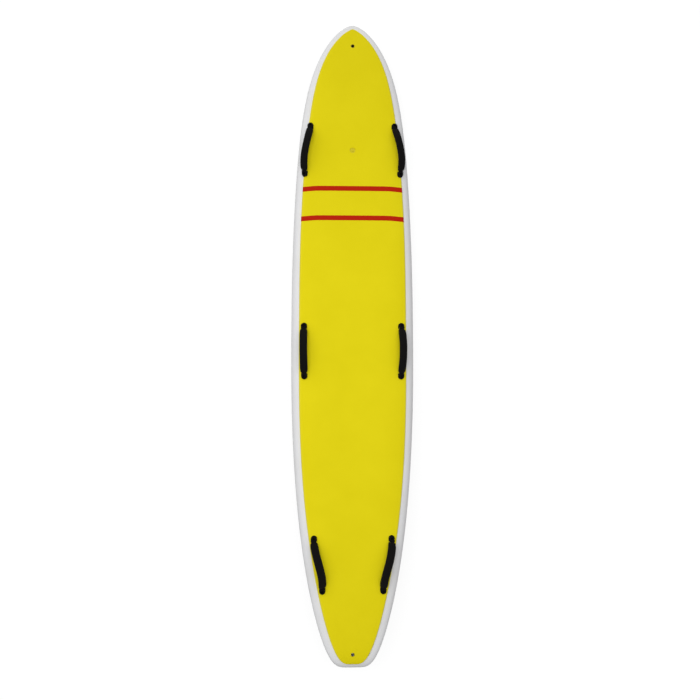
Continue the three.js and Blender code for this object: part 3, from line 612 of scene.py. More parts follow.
def closed(made, nearer=WRAP_JOIN):
    """Joins the points of a wrapped or turned form that meet, and closes what is still open."""
    bmesh.ops.remove_doubles(made, verts=made.verts, dist=nearer)
    bmesh.ops.dissolve_degenerate(made, edges=made.edges, dist=nearer / 4)
    bmesh.ops.holes_fill(made, edges=[e for e in made.edges if e.is_boundary], sides=0)
    bmesh.ops.recalc_face_normals(made, faces=made.faces)
    return made


def turn(profile, steps=TURN_STEPS):
    """A profile of (radius, height) points spun about the upright axis."""
    made = bmesh.new()
    verts = [made.verts.new((radius, 0, height)) for radius, height in profile]
    edges = [made.edges.new(pair) for pair in zip(verts, verts[1:])]
    bmesh.ops.spin(made, geom=verts + edges, cent=(0, 0, 0), axis=(0, 0, 1),
                   angle=math.tau, steps=steps, use_merge=True)
    return closed(made, TURN_JOIN)


def prism(sides, radius, low, high):
    """An upright prism, such as a hexagon drive or a drill's path."""
    made = bmesh.new()
    bmesh.ops.create_cone(made, cap_ends=True, segments=sides, radius1=radius, radius2=radius,
                          depth=high - low, matrix=Matrix.Translation((0, 0, (low + high) / 2)))
    return made


def merged(target, extra, matrix=Matrix.Identity(4)):
    """Adds a copy of one bmesh, moved by the matrix, to another."""
    moved = bpy.data.meshes.new("moved")
    extra.to_mesh(moved)
    moved.transform(matrix)
    target.from_mesh(moved)
    bpy.data.meshes.remove(moved)
    return target


def combined(made, tool, operation):
    """Cuts a tool's shape from a bmesh, or joins it on."""
    objects = []
    for part in (made, tool):
        mesh = bpy.data.meshes.new("part")
        part.to_mesh(mesh)
        part.free()
        objects.append(bpy.data.objects.new("part", mesh))
        bpy.context.scene.collection.objects.link(objects[-1])
    cut = objects[0].modifiers.new("cut", "BOOLEAN")
    cut.object, cut.operation, cut.solver = objects[1], operation, "EXACT"
    shaped = objects[0].evaluated_get(bpy.context.evaluated_depsgraph_get())
    result = bmesh.new()
    result.from_mesh(shaped.to_mesh())
    shaped.to_mesh_clear()
    for part in objects:
        mesh = part.data
        bpy.data.objects.remove(part)
        bpy.data.meshes.remove(mesh)
    return result


def finished(name, made, slot, body, stands_for=(), place=BOARD, crease=35):
    """Turns a bmesh into a piece of the board: placed, shaded, finished and riding on its body."""
    mesh = bpy.data.meshes.new(name)
    made.transform(place)
    made.to_mesh(mesh)
    made.free()
    mesh.shade_smooth()
    mesh.set_sharp_from_angle(angle=math.radians(crease))
    piece = bpy.data.objects.new(name, mesh)
    piece.data.materials.append(FINISH[slot])
    bpy.context.scene.collection.objects.link(piece)
    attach(piece, body)
    if stands_for:
        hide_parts(*stands_for)
    return piece


def report(piece):
    """Prints a new piece's face count and box."""
    corners = [Vector(c) for c in piece.bound_box]
    low = [round(min(c[i] for c in corners), 4) for i in range(3)]
    high = [round(max(c[i] for c in corners), 4) for i in range(3)]
    print(piece.name, "faces", len(piece.data.polygons), "box", low, high)


# %% [markdown]
# ## The hull shell
# The real shell is laid up over the blank from one rail round the bottom to the other rail, and
# its edge ends under the deck pad. So the grid is wrapped the same way. Points are spaced evenly
# along the section's curve, or the tight bend of the rail would be left with too few of them.

# %% Even spacing round a section
CURVE_STEPS = 400
SECTION_RATIO = 0.27
ANGLE_SLACK = 1e-9


def curve_table(power):
    """Lengths walked along a rounded section from its widest point up to its middle."""
    walked = [0.0]
    last = (1.0, 0.0)
    for i in range(1, CURVE_STEPS + 1):
        angle = math.pi / 2 * i / CURVE_STEPS
        out = max(math.cos(angle), 0) ** (2 / power)
        point = (out, math.sin(angle) ** (2 / power) * SECTION_RATIO)
        walked.append(walked[-1] + math.dist(point, last))
        last = point
    return [w / walked[-1] for w in walked]


def angle_at(table, share):
    """The angle at which a given share of the curve has been walked."""
    for i in range(CURVE_STEPS):
        if table[i + 1] >= share:
            part = (share - table[i]) / (table[i + 1] - table[i])
            return math.pi / 2 * (i + part) / CURVE_STEPS
    return math.pi / 2


def share_at(table, angle):
    """The share of the curve that has been walked at an angle, up to the table's next step."""
    return table[math.ceil((angle - ANGLE_SLACK) / (math.pi / 2) * CURVE_STEPS)]


def rounded(angle, power):
    """A point on a rounded section, as shares of its half width and of its height."""
    return max(math.cos(angle), 0) ** (2 / power), max(math.sin(angle), 0) ** (2 / power)


DECK_TABLE = curve_table(DECK_POWER)
BOTTOM_TABLE = curve_table(BOTTOM_POWER)
half_way = math.degrees(angle_at(DECK_TABLE, 0.5))
print("half of the deck's curve has been walked at", round(half_way), "degrees")

# %% Hull shell
PAD_NOSE_PLAN = {"taper": 0.489, "sweep": 2.92, "bluntness": 14.7, "roundness": 0.76}
PAD_TAIL_PLAN = {"taper": 0.7, "sweep": 2.7, "bluntness": 23, "roundness": 0.257}
PAD_NOSE_END = HALF_LENGTH - 24 * MM
PAD_TAIL_END = HALF_LENGTH - 21 * MM
RAIL_BAND = WIDTH * 0.0653
SEAM_LAP = WIDTH * 0.0064
SHELL_THICKNESS = 2.4 * MM
SHELL_ALONG = 220
BOTTOM_STEPS = 26
DECK_STEPS = 22
SHELL_JOIN = 0.05 * MM
SHELL_CREASE = 50
BELLY_HEIGHT = 60 * MM
FIN_BOX_CLEAR = (26.6 * MM / 2, 264.6 * MM / 2)
FIN_BOX_NEAR = (50 * MM, 200 * MM)


def pad_half_width(y):
    """Half width of the deck pad at y. The shell's edge ends a little way in under it."""
    end, plan = (PAD_NOSE_END, PAD_NOSE_PLAN) if y > 0 else (PAD_TAIL_END, PAD_TAIL_PLAN)
    return (WIDTH / 2 - RAIL_BAND) * plan_share(plan, min(abs(y) / end, 1))


def hull_point(u, v):
    """A point of the shell: from the keel at u = 0 round the rail to the edge under the pad."""
    y = math.sin(v * math.pi / 2) * HALF_LENGTH
    half, rail, low, high = section(y)
    step = round(abs(u) * (BOTTOM_STEPS + DECK_STEPS))
    if step <= BOTTOM_STEPS:
        angle = angle_at(BOTTOM_TABLE, 1 - step / BOTTOM_STEPS)
        across, down = rounded(angle, BOTTOM_POWER)
        return Vector((math.copysign(half * across, u), y, rail - (rail - low) * down))
    seam = max(pad_half_width(y) - SEAM_LAP, 0)
    seam_angle = math.acos(min((seam / max(half, PROBE)) ** (DECK_POWER / 2), 1))
    share = share_at(DECK_TABLE, seam_angle) * (step - BOTTOM_STEPS) / DECK_STEPS
    across, up = rounded(min(angle_at(DECK_TABLE, share), seam_angle), DECK_POWER)
    return Vector((math.copysign(half * across, u), y, rail + (high - rail) * up))


def bottom_faces(shell, across, along):
    """The faces of the bottom within two distances of the middle of the fin box."""
    found = []
    for face in shell.faces:
        middle = face.calc_center_median()
        if abs(middle.x) < across and abs(middle.y - FIN_Y) < along and middle.z < BELLY_HEIGHT:
            found.append(face)
    return found


shell = wrap(2 * (BOTTOM_STEPS + DECK_STEPS), 2 * SHELL_ALONG, hull_point)
bmesh.ops.remove_doubles(shell, verts=shell.verts, dist=SHELL_JOIN)

# The fin box sits in a window in the bottom, cut along four straight lines
fin_window = [(Vector((1, 0, 0)), FIN_BOX_CLEAR[0]), (Vector((0, 1, 0)), FIN_BOX_CLEAR[1])]
for direction, reach in fin_window:
    for side in (-1, 1):
        near = bottom_faces(shell, *FIN_BOX_NEAR)
        parts = set(near) | {v for f in near for v in f.verts} | {e for f in near for e in f.edges}
        point = Vector((0, FIN_Y, 0)) + direction * reach * side
        bmesh.ops.bisect_plane(shell, geom=list(parts), plane_co=point, plane_no=direction)
inside = bottom_faces(shell, *FIN_BOX_CLEAR)
bmesh.ops.delete(shell, geom=inside, context="FACES")
bmesh.ops.recalc_face_normals(shell, faces=shell.faces)
hull_shell = finished("hull_shell", shell, "laminate", "board", ["bottom_shell"], crease=SHELL_CREASE)
wall = hull_shell.modifiers.new("wall", "SOLIDIFY")
wall.thickness = SHELL_THICKNESS
wall.offset = -1
report(hull_shell)

# %% [markdown]
# ## The deck pad
# The pad is one sheet of foam, 6 mm thick, with its top edge routed round. It is wrapped as a
# closed section: over the top, round the routed edge, down its side and back underneath. A flat
# sheet could be shrunk on to the hull, but the formula gives the edge its round at the same time.
# Then holes are punched for the two leash plugs, the vent and the handles' screws.

# %% Deck pad form
PAD_THICKNESS = 6 * MM
PAD_BEVEL = 5 * MM
PAD_LIP = PAD_THICKNESS - PAD_BEVEL
PAD_ALONG = 170
TOP_STEPS, ROUTED_STEPS, UNDER_STEPS = 26, 8, 8


def routed(distance):
    """Share of the full height at a distance in from the edge."""
    inward = min(max(distance / PAD_BEVEL, 0), 1)
    return math.sqrt(1 - (1 - inward) ** 2)


def pad_point(u, v):
    """A point of the pad: from its middle line at u = 0 over the edge and back underneath."""
    reach = PAD_NOSE_END if v > 0 else PAD_TAIL_END
    y = math.sin(v * math.pi / 2) * reach
    half = pad_half_width(y)
    bevel = min(PAD_BEVEL, half / 2)
    step = round(abs(u) * (TOP_STEPS + ROUTED_STEPS + UNDER_STEPS))
    end_share = routed(reach - abs(y))
    if step <= TOP_STEPS:
        x = (half - bevel) * step / TOP_STEPS
        height = PAD_LIP + PAD_BEVEL * end_share
    elif step <= TOP_STEPS + ROUTED_STEPS:
        angle = math.pi / 2 * (step - TOP_STEPS) / ROUTED_STEPS
        x = half - bevel + bevel * math.sin(angle)
        height = PAD_LIP + PAD_BEVEL * min(math.cos(angle), end_share)
    else:
        x = half * (1 - (step - TOP_STEPS - ROUTED_STEPS - 1) / (UNDER_STEPS - 1))
        height = 0
    return Vector((math.copysign(x, u), y, deck_height(x, y) + FIT_GAP + height))


pad = closed(wrap(2 * (TOP_STEPS + ROUTED_STEPS + UNDER_STEPS), 2 * PAD_ALONG, pad_point))
print("pad faces", len(pad.faces), "open edges", sum(not e.is_manifold for e in pad.edges))

# %% [markdown]
# ## Where the handles stand
# Each handle is laid out as on the real board: its two end caps stand square on the deck, and a
# strap springs from one cap's mouth, arches over the fingers' gap and comes down into the other.
# The six could be copies of one, but the deck curves differently under each and some lean, so
# each is worked out where it stands.

# %% Handle layout
PAD_TOP = FIT_GAP + PAD_THICKNESS
HANDLE_PLACES = {
    "nose": {"centre": 0.593, "front": 0.811, "rear": 0.85, "leans": (0, 4), "fuller": 0.97},
    "mid": {"centre": -0.045, "front": 0.786, "rear": 0.78, "leans": (7, 0), "fuller": 1.0},
    "tail": {"centre": -0.691, "front": 0.742, "rear": 0.68, "leans": (16, -5), "fuller": 1.03},
}
HANDLE_LENGTH = 280 * MM
CAP_LENGTH = 29 * MM
MOUTH_HEIGHT = 11 * MM
ARCH_RISE = 37 * MM
ARCH_FULLNESS = 2.2


def deck_frame(x, y, lift, heading=1):
    """A frame that stands square on the deck, with its Y along the board or against it."""
    def point(px, py):
        return Vector((px, py, deck_height(px, py) + lift))
    across = (point(x + PROBE, y) - point(x - PROBE, y)).normalized()
    ahead = (point(x, y + PROBE) - point(x, y - PROBE)).normalized() * heading
    up = across.cross(ahead).normalized() * heading
    made = Matrix((ahead.cross(up), ahead, up)).transposed().to_4x4()
    made.translation = point(x, y)
    return made


class Handle:
    """One handle's frames and the line of its arch, on the level board."""

    def __init__(self, place, side):
        layout = HANDLE_PLACES[place]
        self.name = f"{place}_{'left' if side < 0 else 'right'}"
        self.fuller = layout["fuller"]
        reach = HANDLE_LENGTH / 2 - CAP_LENGTH
        centre = layout["centre"] * HALF_LENGTH
        self.frames = {}
        for end, share, heading in (("front", layout["front"], 1), ("rear", layout["rear"], -1)):
            y = centre + heading * reach
            self.frames[end] = deck_frame(side * share * section(y)[0], y, PAD_TOP, heading)
        mouth = Vector((0, 0, MOUTH_HEIGHT))
        self.front, self.rear = (self.frames[end] @ mouth for end in ("front", "rear"))
        self.span = (self.front - self.rear).length
        self.axis = (self.front - self.rear).normalized()
        up = sum((self.frames[end].col[2].to_3d() for end in self.frames), Vector())
        up = (up - self.axis * up.dot(self.axis)).normalized()
        lean = math.radians(layout["leans"][0 if side < 0 else 1])
        self.up = Matrix.Rotation(lean, 3, self.axis) @ up
        self.across = self.axis.cross(self.up)

    def point(self, share, a, b):
        """A point of the section at a share of the span: a across the handle and b upwards."""
        # Sideways and upwards the line eases out of one mouth and into the other
        swing = share * share * (3 - 2 * share) - share
        travel = self.front - self.rear
        line = self.rear + travel * (share + swing) - Vector((0, travel.y, 0)) * swing
        # Where the arch is steep its section stands taller, so that the strap stays as thick
        bow = abs(2 * share - 1)
        rise = ARCH_RISE * (1 - bow ** ARCH_FULLNESS)
        slope = 2 * ARCH_FULLNESS * bow ** (ARCH_FULLNESS - 1) * ARCH_RISE / self.span
        return line + self.across * a + self.up * (rise + b * math.sqrt(1 + slope * slope))


handles = [Handle(place, side) for place in HANDLE_PLACES for side in (-1, 1)]
for handle in handles:
    stated = Vector(joints[f"{handle.name}_lean"]["pos_m"])
    print(handle.name, "span", round(handle.span, 4), "off the CAD hinge by mm",
          round((BOARD @ handle.rear - stated).length / MM, 4))

# %% Holes in the pad
DRILL_SIDES = 24
ROUND_SIDES = 64
PUNCH = 20 * MM
CUP_RIM = 20 * MM
VENT_FLANGE = 28 * MM
SCREW_HOLE_RADIUS = 2.8 * MM
SCREW_SEAT = 5 * MM
NOSE_LEASH_Y = HALF_LENGTH - 114 * MM
TAIL_LEASH_Y = 69 * MM - HALF_LENGTH
PAD_CREASE = 40
leash_frames = {
    "nose": deck_frame(0, NOSE_LEASH_Y, PAD_TOP),
    "tail": deck_frame(0, TAIL_LEASH_Y, PAD_TOP),
}
vent_frame = deck_frame(0, VENT_Y, FIT_GAP)
screw_seat = Matrix.Translation((0, CAP_LENGTH / 2, SCREW_SEAT))

punches = bmesh.new()
for leash_frame in leash_frames.values():
    merged(punches, prism(ROUND_SIDES, CUP_RIM / 2 + FIT_GAP, -PUNCH, PUNCH), leash_frame)
merged(punches, prism(ROUND_SIDES, VENT_FLANGE / 2 + FIT_GAP, -PUNCH, PUNCH), vent_frame)
for handle in handles:
    for end_frame in handle.frames.values():
        merged(punches, prism(DRILL_SIDES, SCREW_HOLE_RADIUS, -PUNCH, 0), end_frame @ screw_seat)
pad = combined(pad, punches, "DIFFERENCE")
deck_pad = finished("deck_pad_foam", pad, "deck_foam", "board", ["deck_pad"], crease=PAD_CREASE)
report(deck_pad)

# %% Paler cells along the routed edge
PALE_SHARE = 0.55
PALE_REACH = PAD_BEVEL * 1.2
edge_share = deck_pad.data.attributes.new("routed_edge", "FLOAT", "POINT")
level = BOARD.inverted()
for vert, value in zip(deck_pad.data.vertices, edge_share.data):
    place = level @ vert.co
    inset = pad_half_width(place.y) - abs(place.x)
    value.value = PALE_SHARE * (1 - min(max(inset / PALE_REACH, 0), 1))
print("paler points of the pad", sum(value.value > 0 for value in edge_share.data))

# %% [markdown]
# ## Straps and sleeves
# The strap is nylon webbing with rounded selvedges. The sleeve is foam rubber with a knitted
# face, cut as a strip, folded round the strap and sewn. Its ends are pinched where the last
# stitches pull them in, and the foam stands fuller between. A simulated cloth suits limp fabric,
# but this foam is stiff and lies without creases, so a formula shapes the sleeve as well.

# %% Strap and sleeve forms
STRAP_WIDTH = 25 * MM
STRAP_THICKNESS = 3 * MM
STRAP_AROUND, STRAP_ALONG = 56, 90
GRIP_WIDTH = 38 * MM
GRIP_THICKNESS = 15 * MM
GRIP_START = 5 * MM
GRIP_ROUNDING = 24 * MM
GRIP_END_SHARE = 0.76
SLEEVE_AROUND, SLEEVE_ALONG = 40, 96
SLOT_SHARE = 0.3
# How much fuller the foam stands: at the middle of its length, in a slight ripple that runs
# through an angle in radians, and along its middle line
PUFF_SHARE = 0.05
RIPPLE_SHARE = 0.012
RIPPLE_ANGLE = 34
CROWN_SHARE = 0.07
# The woven sheets' lengths for each length that they span. A strap's is a little longer than its
# arch, which draws the ribs closer, and a sleeve's runs out round it and back through the slot.
STRAP_CLOTH_SHARE = 1.15
SLEEVE_CLOTH_SHARE = 1.5


def stadium(width, thickness, share):
    """A point at a share of the way round a flat section with round edges."""
    flat, bend = width - thickness, math.pi * thickness / 2
    walked = share % 1 * 2 * (flat + bend)
    half_way, walked = divmod(walked, flat + bend)
    if walked < flat:
        a, b = walked - flat / 2, thickness / 2
    else:
        angle = (walked - flat) / (thickness / 2)
        a, b = flat / 2 + thickness / 2 * math.sin(angle), thickness / 2 * math.cos(angle)
    return (-a, -b) if half_way else (a, b)


def girth(width, thickness):
    """The way round a flat section with round edges."""
    return 2 * (width - thickness) + math.pi * thickness


def strap_form(handle):
    """The strap from one cap's mouth to the other's, a fitting gap short of each."""
    def place(u, v):
        share = FIT_GAP / handle.span + (1 - 2 * FIT_GAP / handle.span) * (v + 1) / 2
        return handle.point(share, *stadium(STRAP_WIDTH, STRAP_THICKNESS, (u + 1) / 2))
    cloth = (girth(STRAP_WIDTH, STRAP_THICKNESS), handle.span * STRAP_CLOTH_SHARE)
    return closed(wrap(STRAP_AROUND, STRAP_ALONG, place, cloth))


def sleeve_fullness(handle, inset):
    """The sleeve's size at a distance in from its end, as a share of the CAD sleeve's size."""
    inward = min(inset / GRIP_ROUNDING, 1)
    return GRIP_END_SHARE + (handle.fuller - GRIP_END_SHARE) * math.sqrt(1 - (1 - inward) ** 2)


def sleeve_crown(a):
    """How much fuller the sleeve stands at a distance across from its middle line."""
    return 1 + CROWN_SHARE * (1 - (a / (GRIP_WIDTH / 2)) ** 2)


def sleeve_form(handle):
    """Outside from one end to the other, then back through the slot that the strap fills."""
    length = handle.span - 2 * GRIP_START

    def in_slot(u, along):
        share = (GRIP_START + length * along) / handle.span
        room = 2 * FIT_GAP
        return handle.point(share, *stadium(STRAP_WIDTH + room, STRAP_THICKNESS + room, (u + 1) / 2))

    def place(u, v):
        walk = (v + 1) / 2
        if walk > 1 - SLOT_SHARE:
            return in_slot(u, (1 - walk) / SLOT_SHARE)
        along = walk / (1 - SLOT_SHARE)
        eased = (1 - math.cos(math.pi * along)) / 2
        share = (GRIP_START + length * eased) / handle.span
        fullness = sleeve_fullness(handle, min(eased, 1 - eased) * length)
        bulge = math.sin(math.pi * eased)
        puff = 1 + PUFF_SHARE * bulge + RIPPLE_SHARE * math.sin(eased * RIPPLE_ANGLE) * bulge
        a, b = stadium(GRIP_WIDTH, GRIP_THICKNESS, (u + 1) / 2)
        return handle.point(share, a * fullness, b * fullness * puff * sleeve_crown(a))

    cloth = (girth(GRIP_WIDTH, GRIP_THICKNESS), length * SLEEVE_CLOTH_SHARE)
    return closed(wrap(SLEEVE_AROUND, SLEEVE_ALONG, place, cloth))


# %% Stitching
STITCH_PITCH = 4.5 * MM
STITCH_INSET = 6 * MM
STITCH_LENGTH = 3.2 * MM
THREAD = 0.8 * MM
RING_LIFT = 1.06
SEAM_PLACE_SHARE = 0.55


def end_stitches(handle, share):
    """Points round the sleeve where its last stitches pull it in, lifted clear of the foam."""
    fullness = sleeve_fullness(handle, STITCH_INSET)
    count = round(girth(GRIP_WIDTH, GRIP_THICKNESS) / STITCH_PITCH)
    ring = []
    for i in range(count + 1):
        a, b = stadium(GRIP_WIDTH, GRIP_THICKNESS, i / count)
        ring.append(handle.point(share, a * fullness, b * fullness * RING_LIFT))
    return ring


def seam_stitches(handle):
    """Points along the seam, which closes the sleeve on its underside."""
    sewn = handle.span - 2 * GRIP_START - 2 * GRIP_ROUNDING
    count = round(sewn / STITCH_PITCH)
    a = -GRIP_WIDTH / 2 * SEAM_PLACE_SHARE
    line = []
    for i in range(count + 1):
        share = (GRIP_START + GRIP_ROUNDING + sewn * i / count) / handle.span
        b = -GRIP_THICKNESS / 2 * (1 + PUFF_SHARE * math.sin(math.pi * i / count))
        line.append(handle.point(share, a * handle.fuller, b * handle.fuller * sleeve_crown(a)))
    return line


def stitches(handle):
    """Thread round each end of the sleeve and along its seam, one small bead for each stitch."""
    made = bmesh.new()
    inset = (GRIP_START + STITCH_INSET) / handle.span
    rows = [end_stitches(handle, inset), end_stitches(handle, 1 - inset), seam_stitches(handle)]
    for row in rows:
        for first, second in zip(row, row[1:]):
            run = second - first
            middle = (first + second) / 2
            turned = run.to_track_quat("Z", "Y").to_matrix().to_4x4()
            size = Matrix.Diagonal((THREAD / 2, THREAD / 2, STITCH_LENGTH / 2, 1))
            bmesh.ops.create_icosphere(made, subdivisions=1, radius=1,
                                       matrix=Matrix.Translation(middle) @ turned @ size)
    return made


# %% Straps, sleeves and stitching of the six handles
CLOTH_CREASE = 60
THREAD_CREASE = 80
for handle in handles:
    body = f"{handle.name}_handle"
    strap = finished(f"{handle.name}_webbing", strap_form(handle), "webbing", body,
                     [f"{handle.name}_strap"], crease=CLOTH_CREASE)
    sleeve = finished(f"{handle.name}_sleeve", sleeve_form(handle), "neoprene", body,
                      [f"{handle.name}_grip"], crease=CLOTH_CREASE)
    finished(f"{handle.name}_stitching", stitches(handle), "webbing", body, crease=THREAD_CREASE)
report(strap)
report(sleeve)

# %% [markdown]
# ## End caps
# A cap is a nylon moulding: square at its mouth, round at its far end, sloping down to the deck,
# with its screw sunk in a round pocket. It is wrapped from a grid, and its foot follows the pad
# and the rail under it, which a ray cast down from each point finds. A flat foot would stand
# off the curved deck at its corners.

# %% Cap form
CAP_WIDTH = 30 * MM
CAP_HEIGHT = 15.5 * MM
CAP_END_HEIGHT = 7 * MM
CAP_AROUND, CAP_ALONG = 56, 30
CAP_FLAT = CAP_LENGTH * 0.45
CAP_CORNER = 4.5
CAP_END_ROUNDING = 3.5 * MM
CAP_RIM_SHARE = 0.55
STRAIGHT_ROWS_SHARE = 0.45
OVER_THE_TOP_SHARE = 0.75
RAY_HEIGHT = 30 * MM
POCKET_SIDES = 32
POCKET_RADIUS = 5.3 * MM
POCKET_TOP = 30 * MM
pad_tree = BVHTree.FromObject(deck_pad, bpy.context.evaluated_depsgraph_get())
shell_tree = BVHTree.FromObject(hull_shell, bpy.context.evaluated_depsgraph_get())


def ground_below(point, up):
    """The height of the pad or shell under a point, measured along up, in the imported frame."""
    start = point + up * RAY_HEIGHT
    hits = [tree.ray_cast(start, -up)[3] for tree in (pad_tree, shell_tree)]
    reach = min([hit for hit in hits if hit is not None], default=RAY_HEIGHT)
    return RAY_HEIGHT - reach


def cap_height(y):
    """Height of the cap's top at a distance from its mouth, with its far edge rounded off."""
    if y <= CAP_FLAT:
        top = CAP_HEIGHT
    else:
        top = CAP_HEIGHT + (CAP_END_HEIGHT - CAP_HEIGHT) * (y - CAP_FLAT) / (CAP_LENGTH - CAP_FLAT)
    inward = min(max((CAP_LENGTH - y) / CAP_END_ROUNDING, 0), 1)
    return top * (CAP_RIM_SHARE + (1 - CAP_RIM_SHARE) * math.sqrt(1 - (1 - inward) ** 2))


def cap_form(frame_here, axis):
    """A cap in its own frame, with its mouth cut square to the handle's axis."""
    outward = frame_here.inverted().to_3x3() @ axis
    if outward.y < 0:
        outward.negate()
    stand = BOARD @ frame_here
    up = stand.col[2].to_3d()
    straight = CAP_LENGTH - CAP_WIDTH / 2

    def place(u, v):
        walk = (v + 1) / 2
        if walk < STRAIGHT_ROWS_SHARE:
            y, wide = straight * walk / STRAIGHT_ROWS_SHARE, 1
        else:
            angle = math.pi / 2 * (walk - STRAIGHT_ROWS_SHARE) / (1 - STRAIGHT_ROWS_SHARE)
            y, wide = straight + CAP_WIDTH / 2 * math.sin(angle), math.cos(angle)
        top = cap_height(y)
        around = (u + 1) / 2
        if around <= OVER_THE_TOP_SHARE:
            angle = math.pi * around / OVER_THE_TOP_SHARE
            a = math.copysign(abs(math.cos(angle)) ** (2 / CAP_CORNER), -math.cos(angle))
            b = math.sin(angle) ** (2 / CAP_CORNER) if 0 < angle < math.pi else 0
        else:
            a, b = 1 - 2 * (around - OVER_THE_TOP_SHARE) / (1 - OVER_THE_TOP_SHARE), 0
        x = a * wide * CAP_WIDTH / 2
        z = b * top
        lean = -(outward.x * x + outward.z * (z - MOUTH_HEIGHT)) / outward.y
        y += lean * (1 - y / CAP_LENGTH)
        foot = ground_below(stand @ Vector((x, y, 0)), up)
        return Vector((x, y, foot + (top - foot) * b if b else foot))

    form = closed(wrap(CAP_AROUND, CAP_ALONG, place))
    pocket = prism(POCKET_SIDES, POCKET_RADIUS, SCREW_SEAT, POCKET_TOP)
    pocket.transform(Matrix.Translation((0, CAP_LENGTH / 2, 0)))
    return combined(form, pocket, "DIFFERENCE")


# %% Screw form
SCREW_STEPS = 32
HEX_SIDES = 6
CROWN_ANGLES = (0, 0.35, 0.7, 1.05, 1.35)
HEAD_EDGE_SHARE = 0.35
POINT_SHARE = 0.2
SOCKET_FLOOR_SHARE = 0.4


def socket_screw(head, head_height, shank, length, drive):
    """A pan head screw with a hexagon socket, its head's underside at zero."""
    domed = 1 - HEAD_EDGE_SHARE
    crown = [(head / 2 * math.cos(a), head_height * (HEAD_EDGE_SHARE + domed * math.sin(a)))
             for a in CROWN_ANGLES]
    profile = [(0, -length), (shank * POINT_SHARE, -length), (shank / 2, shank - length),
               (shank / 2, 0), (head / 2, 0), *crown, (0, head_height)]
    socket = prism(HEX_SIDES, drive / 2, head_height * SOCKET_FLOOR_SHARE, head_height * 2)
    return combined(turn(profile, SCREW_STEPS), socket, "DIFFERENCE")


# %% Caps and screws of the six handles
SCREW_LENGTH = 32 * MM
CAP_SCREW = {"head": 10 * MM, "head_height": 3.4 * MM, "shank": 5 * MM,
             "length": SCREW_LENGTH - FIT_GAP, "drive": 4.4 * MM}
screw = socket_screw(**CAP_SCREW)
for handle in handles:
    for end, end_frame in handle.frames.items():
        stand = BOARD @ end_frame
        cap = finished(f"{handle.name}_{end}_cap", cap_form(end_frame, handle.axis),
                       "cap_plastic", "board", [f"{handle.name}_cap_{end}"], stand)
        fitted = finished(f"{handle.name}_{end}_screw", screw.copy(), "screw_steel", "board",
                          [f"{handle.name}_screw_{end}"],
                          stand @ screw_seat @ Matrix.Translation((0, 0, FIT_GAP)))
screw.free()
report(cap)
report(fitted)

# %% [markdown]
# ## Leash plugs
# Each plug is a turned cup let into the deck, with a steel cross pin for the leash cord. Its rim
# lies level with the pad and has its edge broken by half a millimetre. Cup and pin are spun from
# profiles, because a lathe gives both their shape. The cup's inside is marked point by point, and
# its finish paints shade there, dark olive.

# %% Leash cups and pins
CUP_BORE = 16 * MM
CUP_BODY = 28 * MM
CUP_DEPTH = 24 * MM
CUP_FLOOR = 4 * MM
PIN_DEPTH = 7 * MM
PIN = 3 * MM
SKIN = 3 * MM
EDGE = 0.5 * MM
shoulder = -PAD_TOP - SKIN - FIT_GAP
cup_floor = CUP_FLOOR - CUP_DEPTH
cup_profile = [
    (0, -CUP_DEPTH), (CUP_BODY / 2 - EDGE, -CUP_DEPTH), (CUP_BODY / 2, EDGE - CUP_DEPTH),
    (CUP_BODY / 2, shoulder), (CUP_RIM / 2, shoulder), (CUP_RIM / 2, -EDGE),
    (CUP_RIM / 2 - EDGE, 0), (CUP_BORE / 2 + EDGE, 0), (CUP_BORE / 2, -EDGE),
    (CUP_BORE / 2, cup_floor + 2 * EDGE), (CUP_BORE / 2 - 2 * EDGE, cup_floor), (0, cup_floor),
]
pin_half = (CUP_BORE + CUP_RIM) / 4
pin_profile = [(0, -pin_half), (PIN / 2 - EDGE / 2, -pin_half), (PIN / 2, EDGE / 2 - pin_half),
               (PIN / 2, pin_half - EDGE / 2), (PIN / 2 - EDGE / 2, pin_half), (0, pin_half)]
across_board = Matrix.Translation((0, 0, -PIN_DEPTH)) @ Matrix.Rotation(math.pi / 2, 4, "Y")
for end, leash_frame in leash_frames.items():
    stand = BOARD @ leash_frame
    hole = prism(DRILL_SIDES, PIN / 2 + FIT_GAP, -pin_half - FIT_GAP, pin_half + FIT_GAP)
    hole.transform(across_board)
    cup = finished(f"{end}_leash_plug", combined(turn(cup_profile, ROUND_SIDES), hole, "DIFFERENCE"),
                   "plug_plastic", "board", [f"{end}_leash_cup"], stand)
    # Marks the points inside the bore, where the finish paints shade
    soiled = cup.data.attributes.new("soiled", "FLOAT", "POINT")
    upright = stand.inverted()
    for vert, value in zip(cup.data.vertices, soiled.data):
        place = upright @ vert.co
        value.value = float(place.xy.length < CUP_BORE / 2 + EDGE / 2 and place.z < -EDGE / 2)
    cross_pin = finished(f"{end}_leash_cross_pin", turn(pin_profile, DRILL_SIDES), "pin_steel",
                         "board", [f"{end}_leash_pin"], stand @ across_board)
report(cup)
report(cross_pin)

# %% [markdown]
# ## Vent plug
# The vent lets air out of the core when the board lies in the sun. It is a flanged nylon bush
# with a screw that a coin turns, closing on a rubber ring. All three are round, so each is spun,
# the ring from a circle and the other two from profiles, and a bar cuts the slot for the coin.

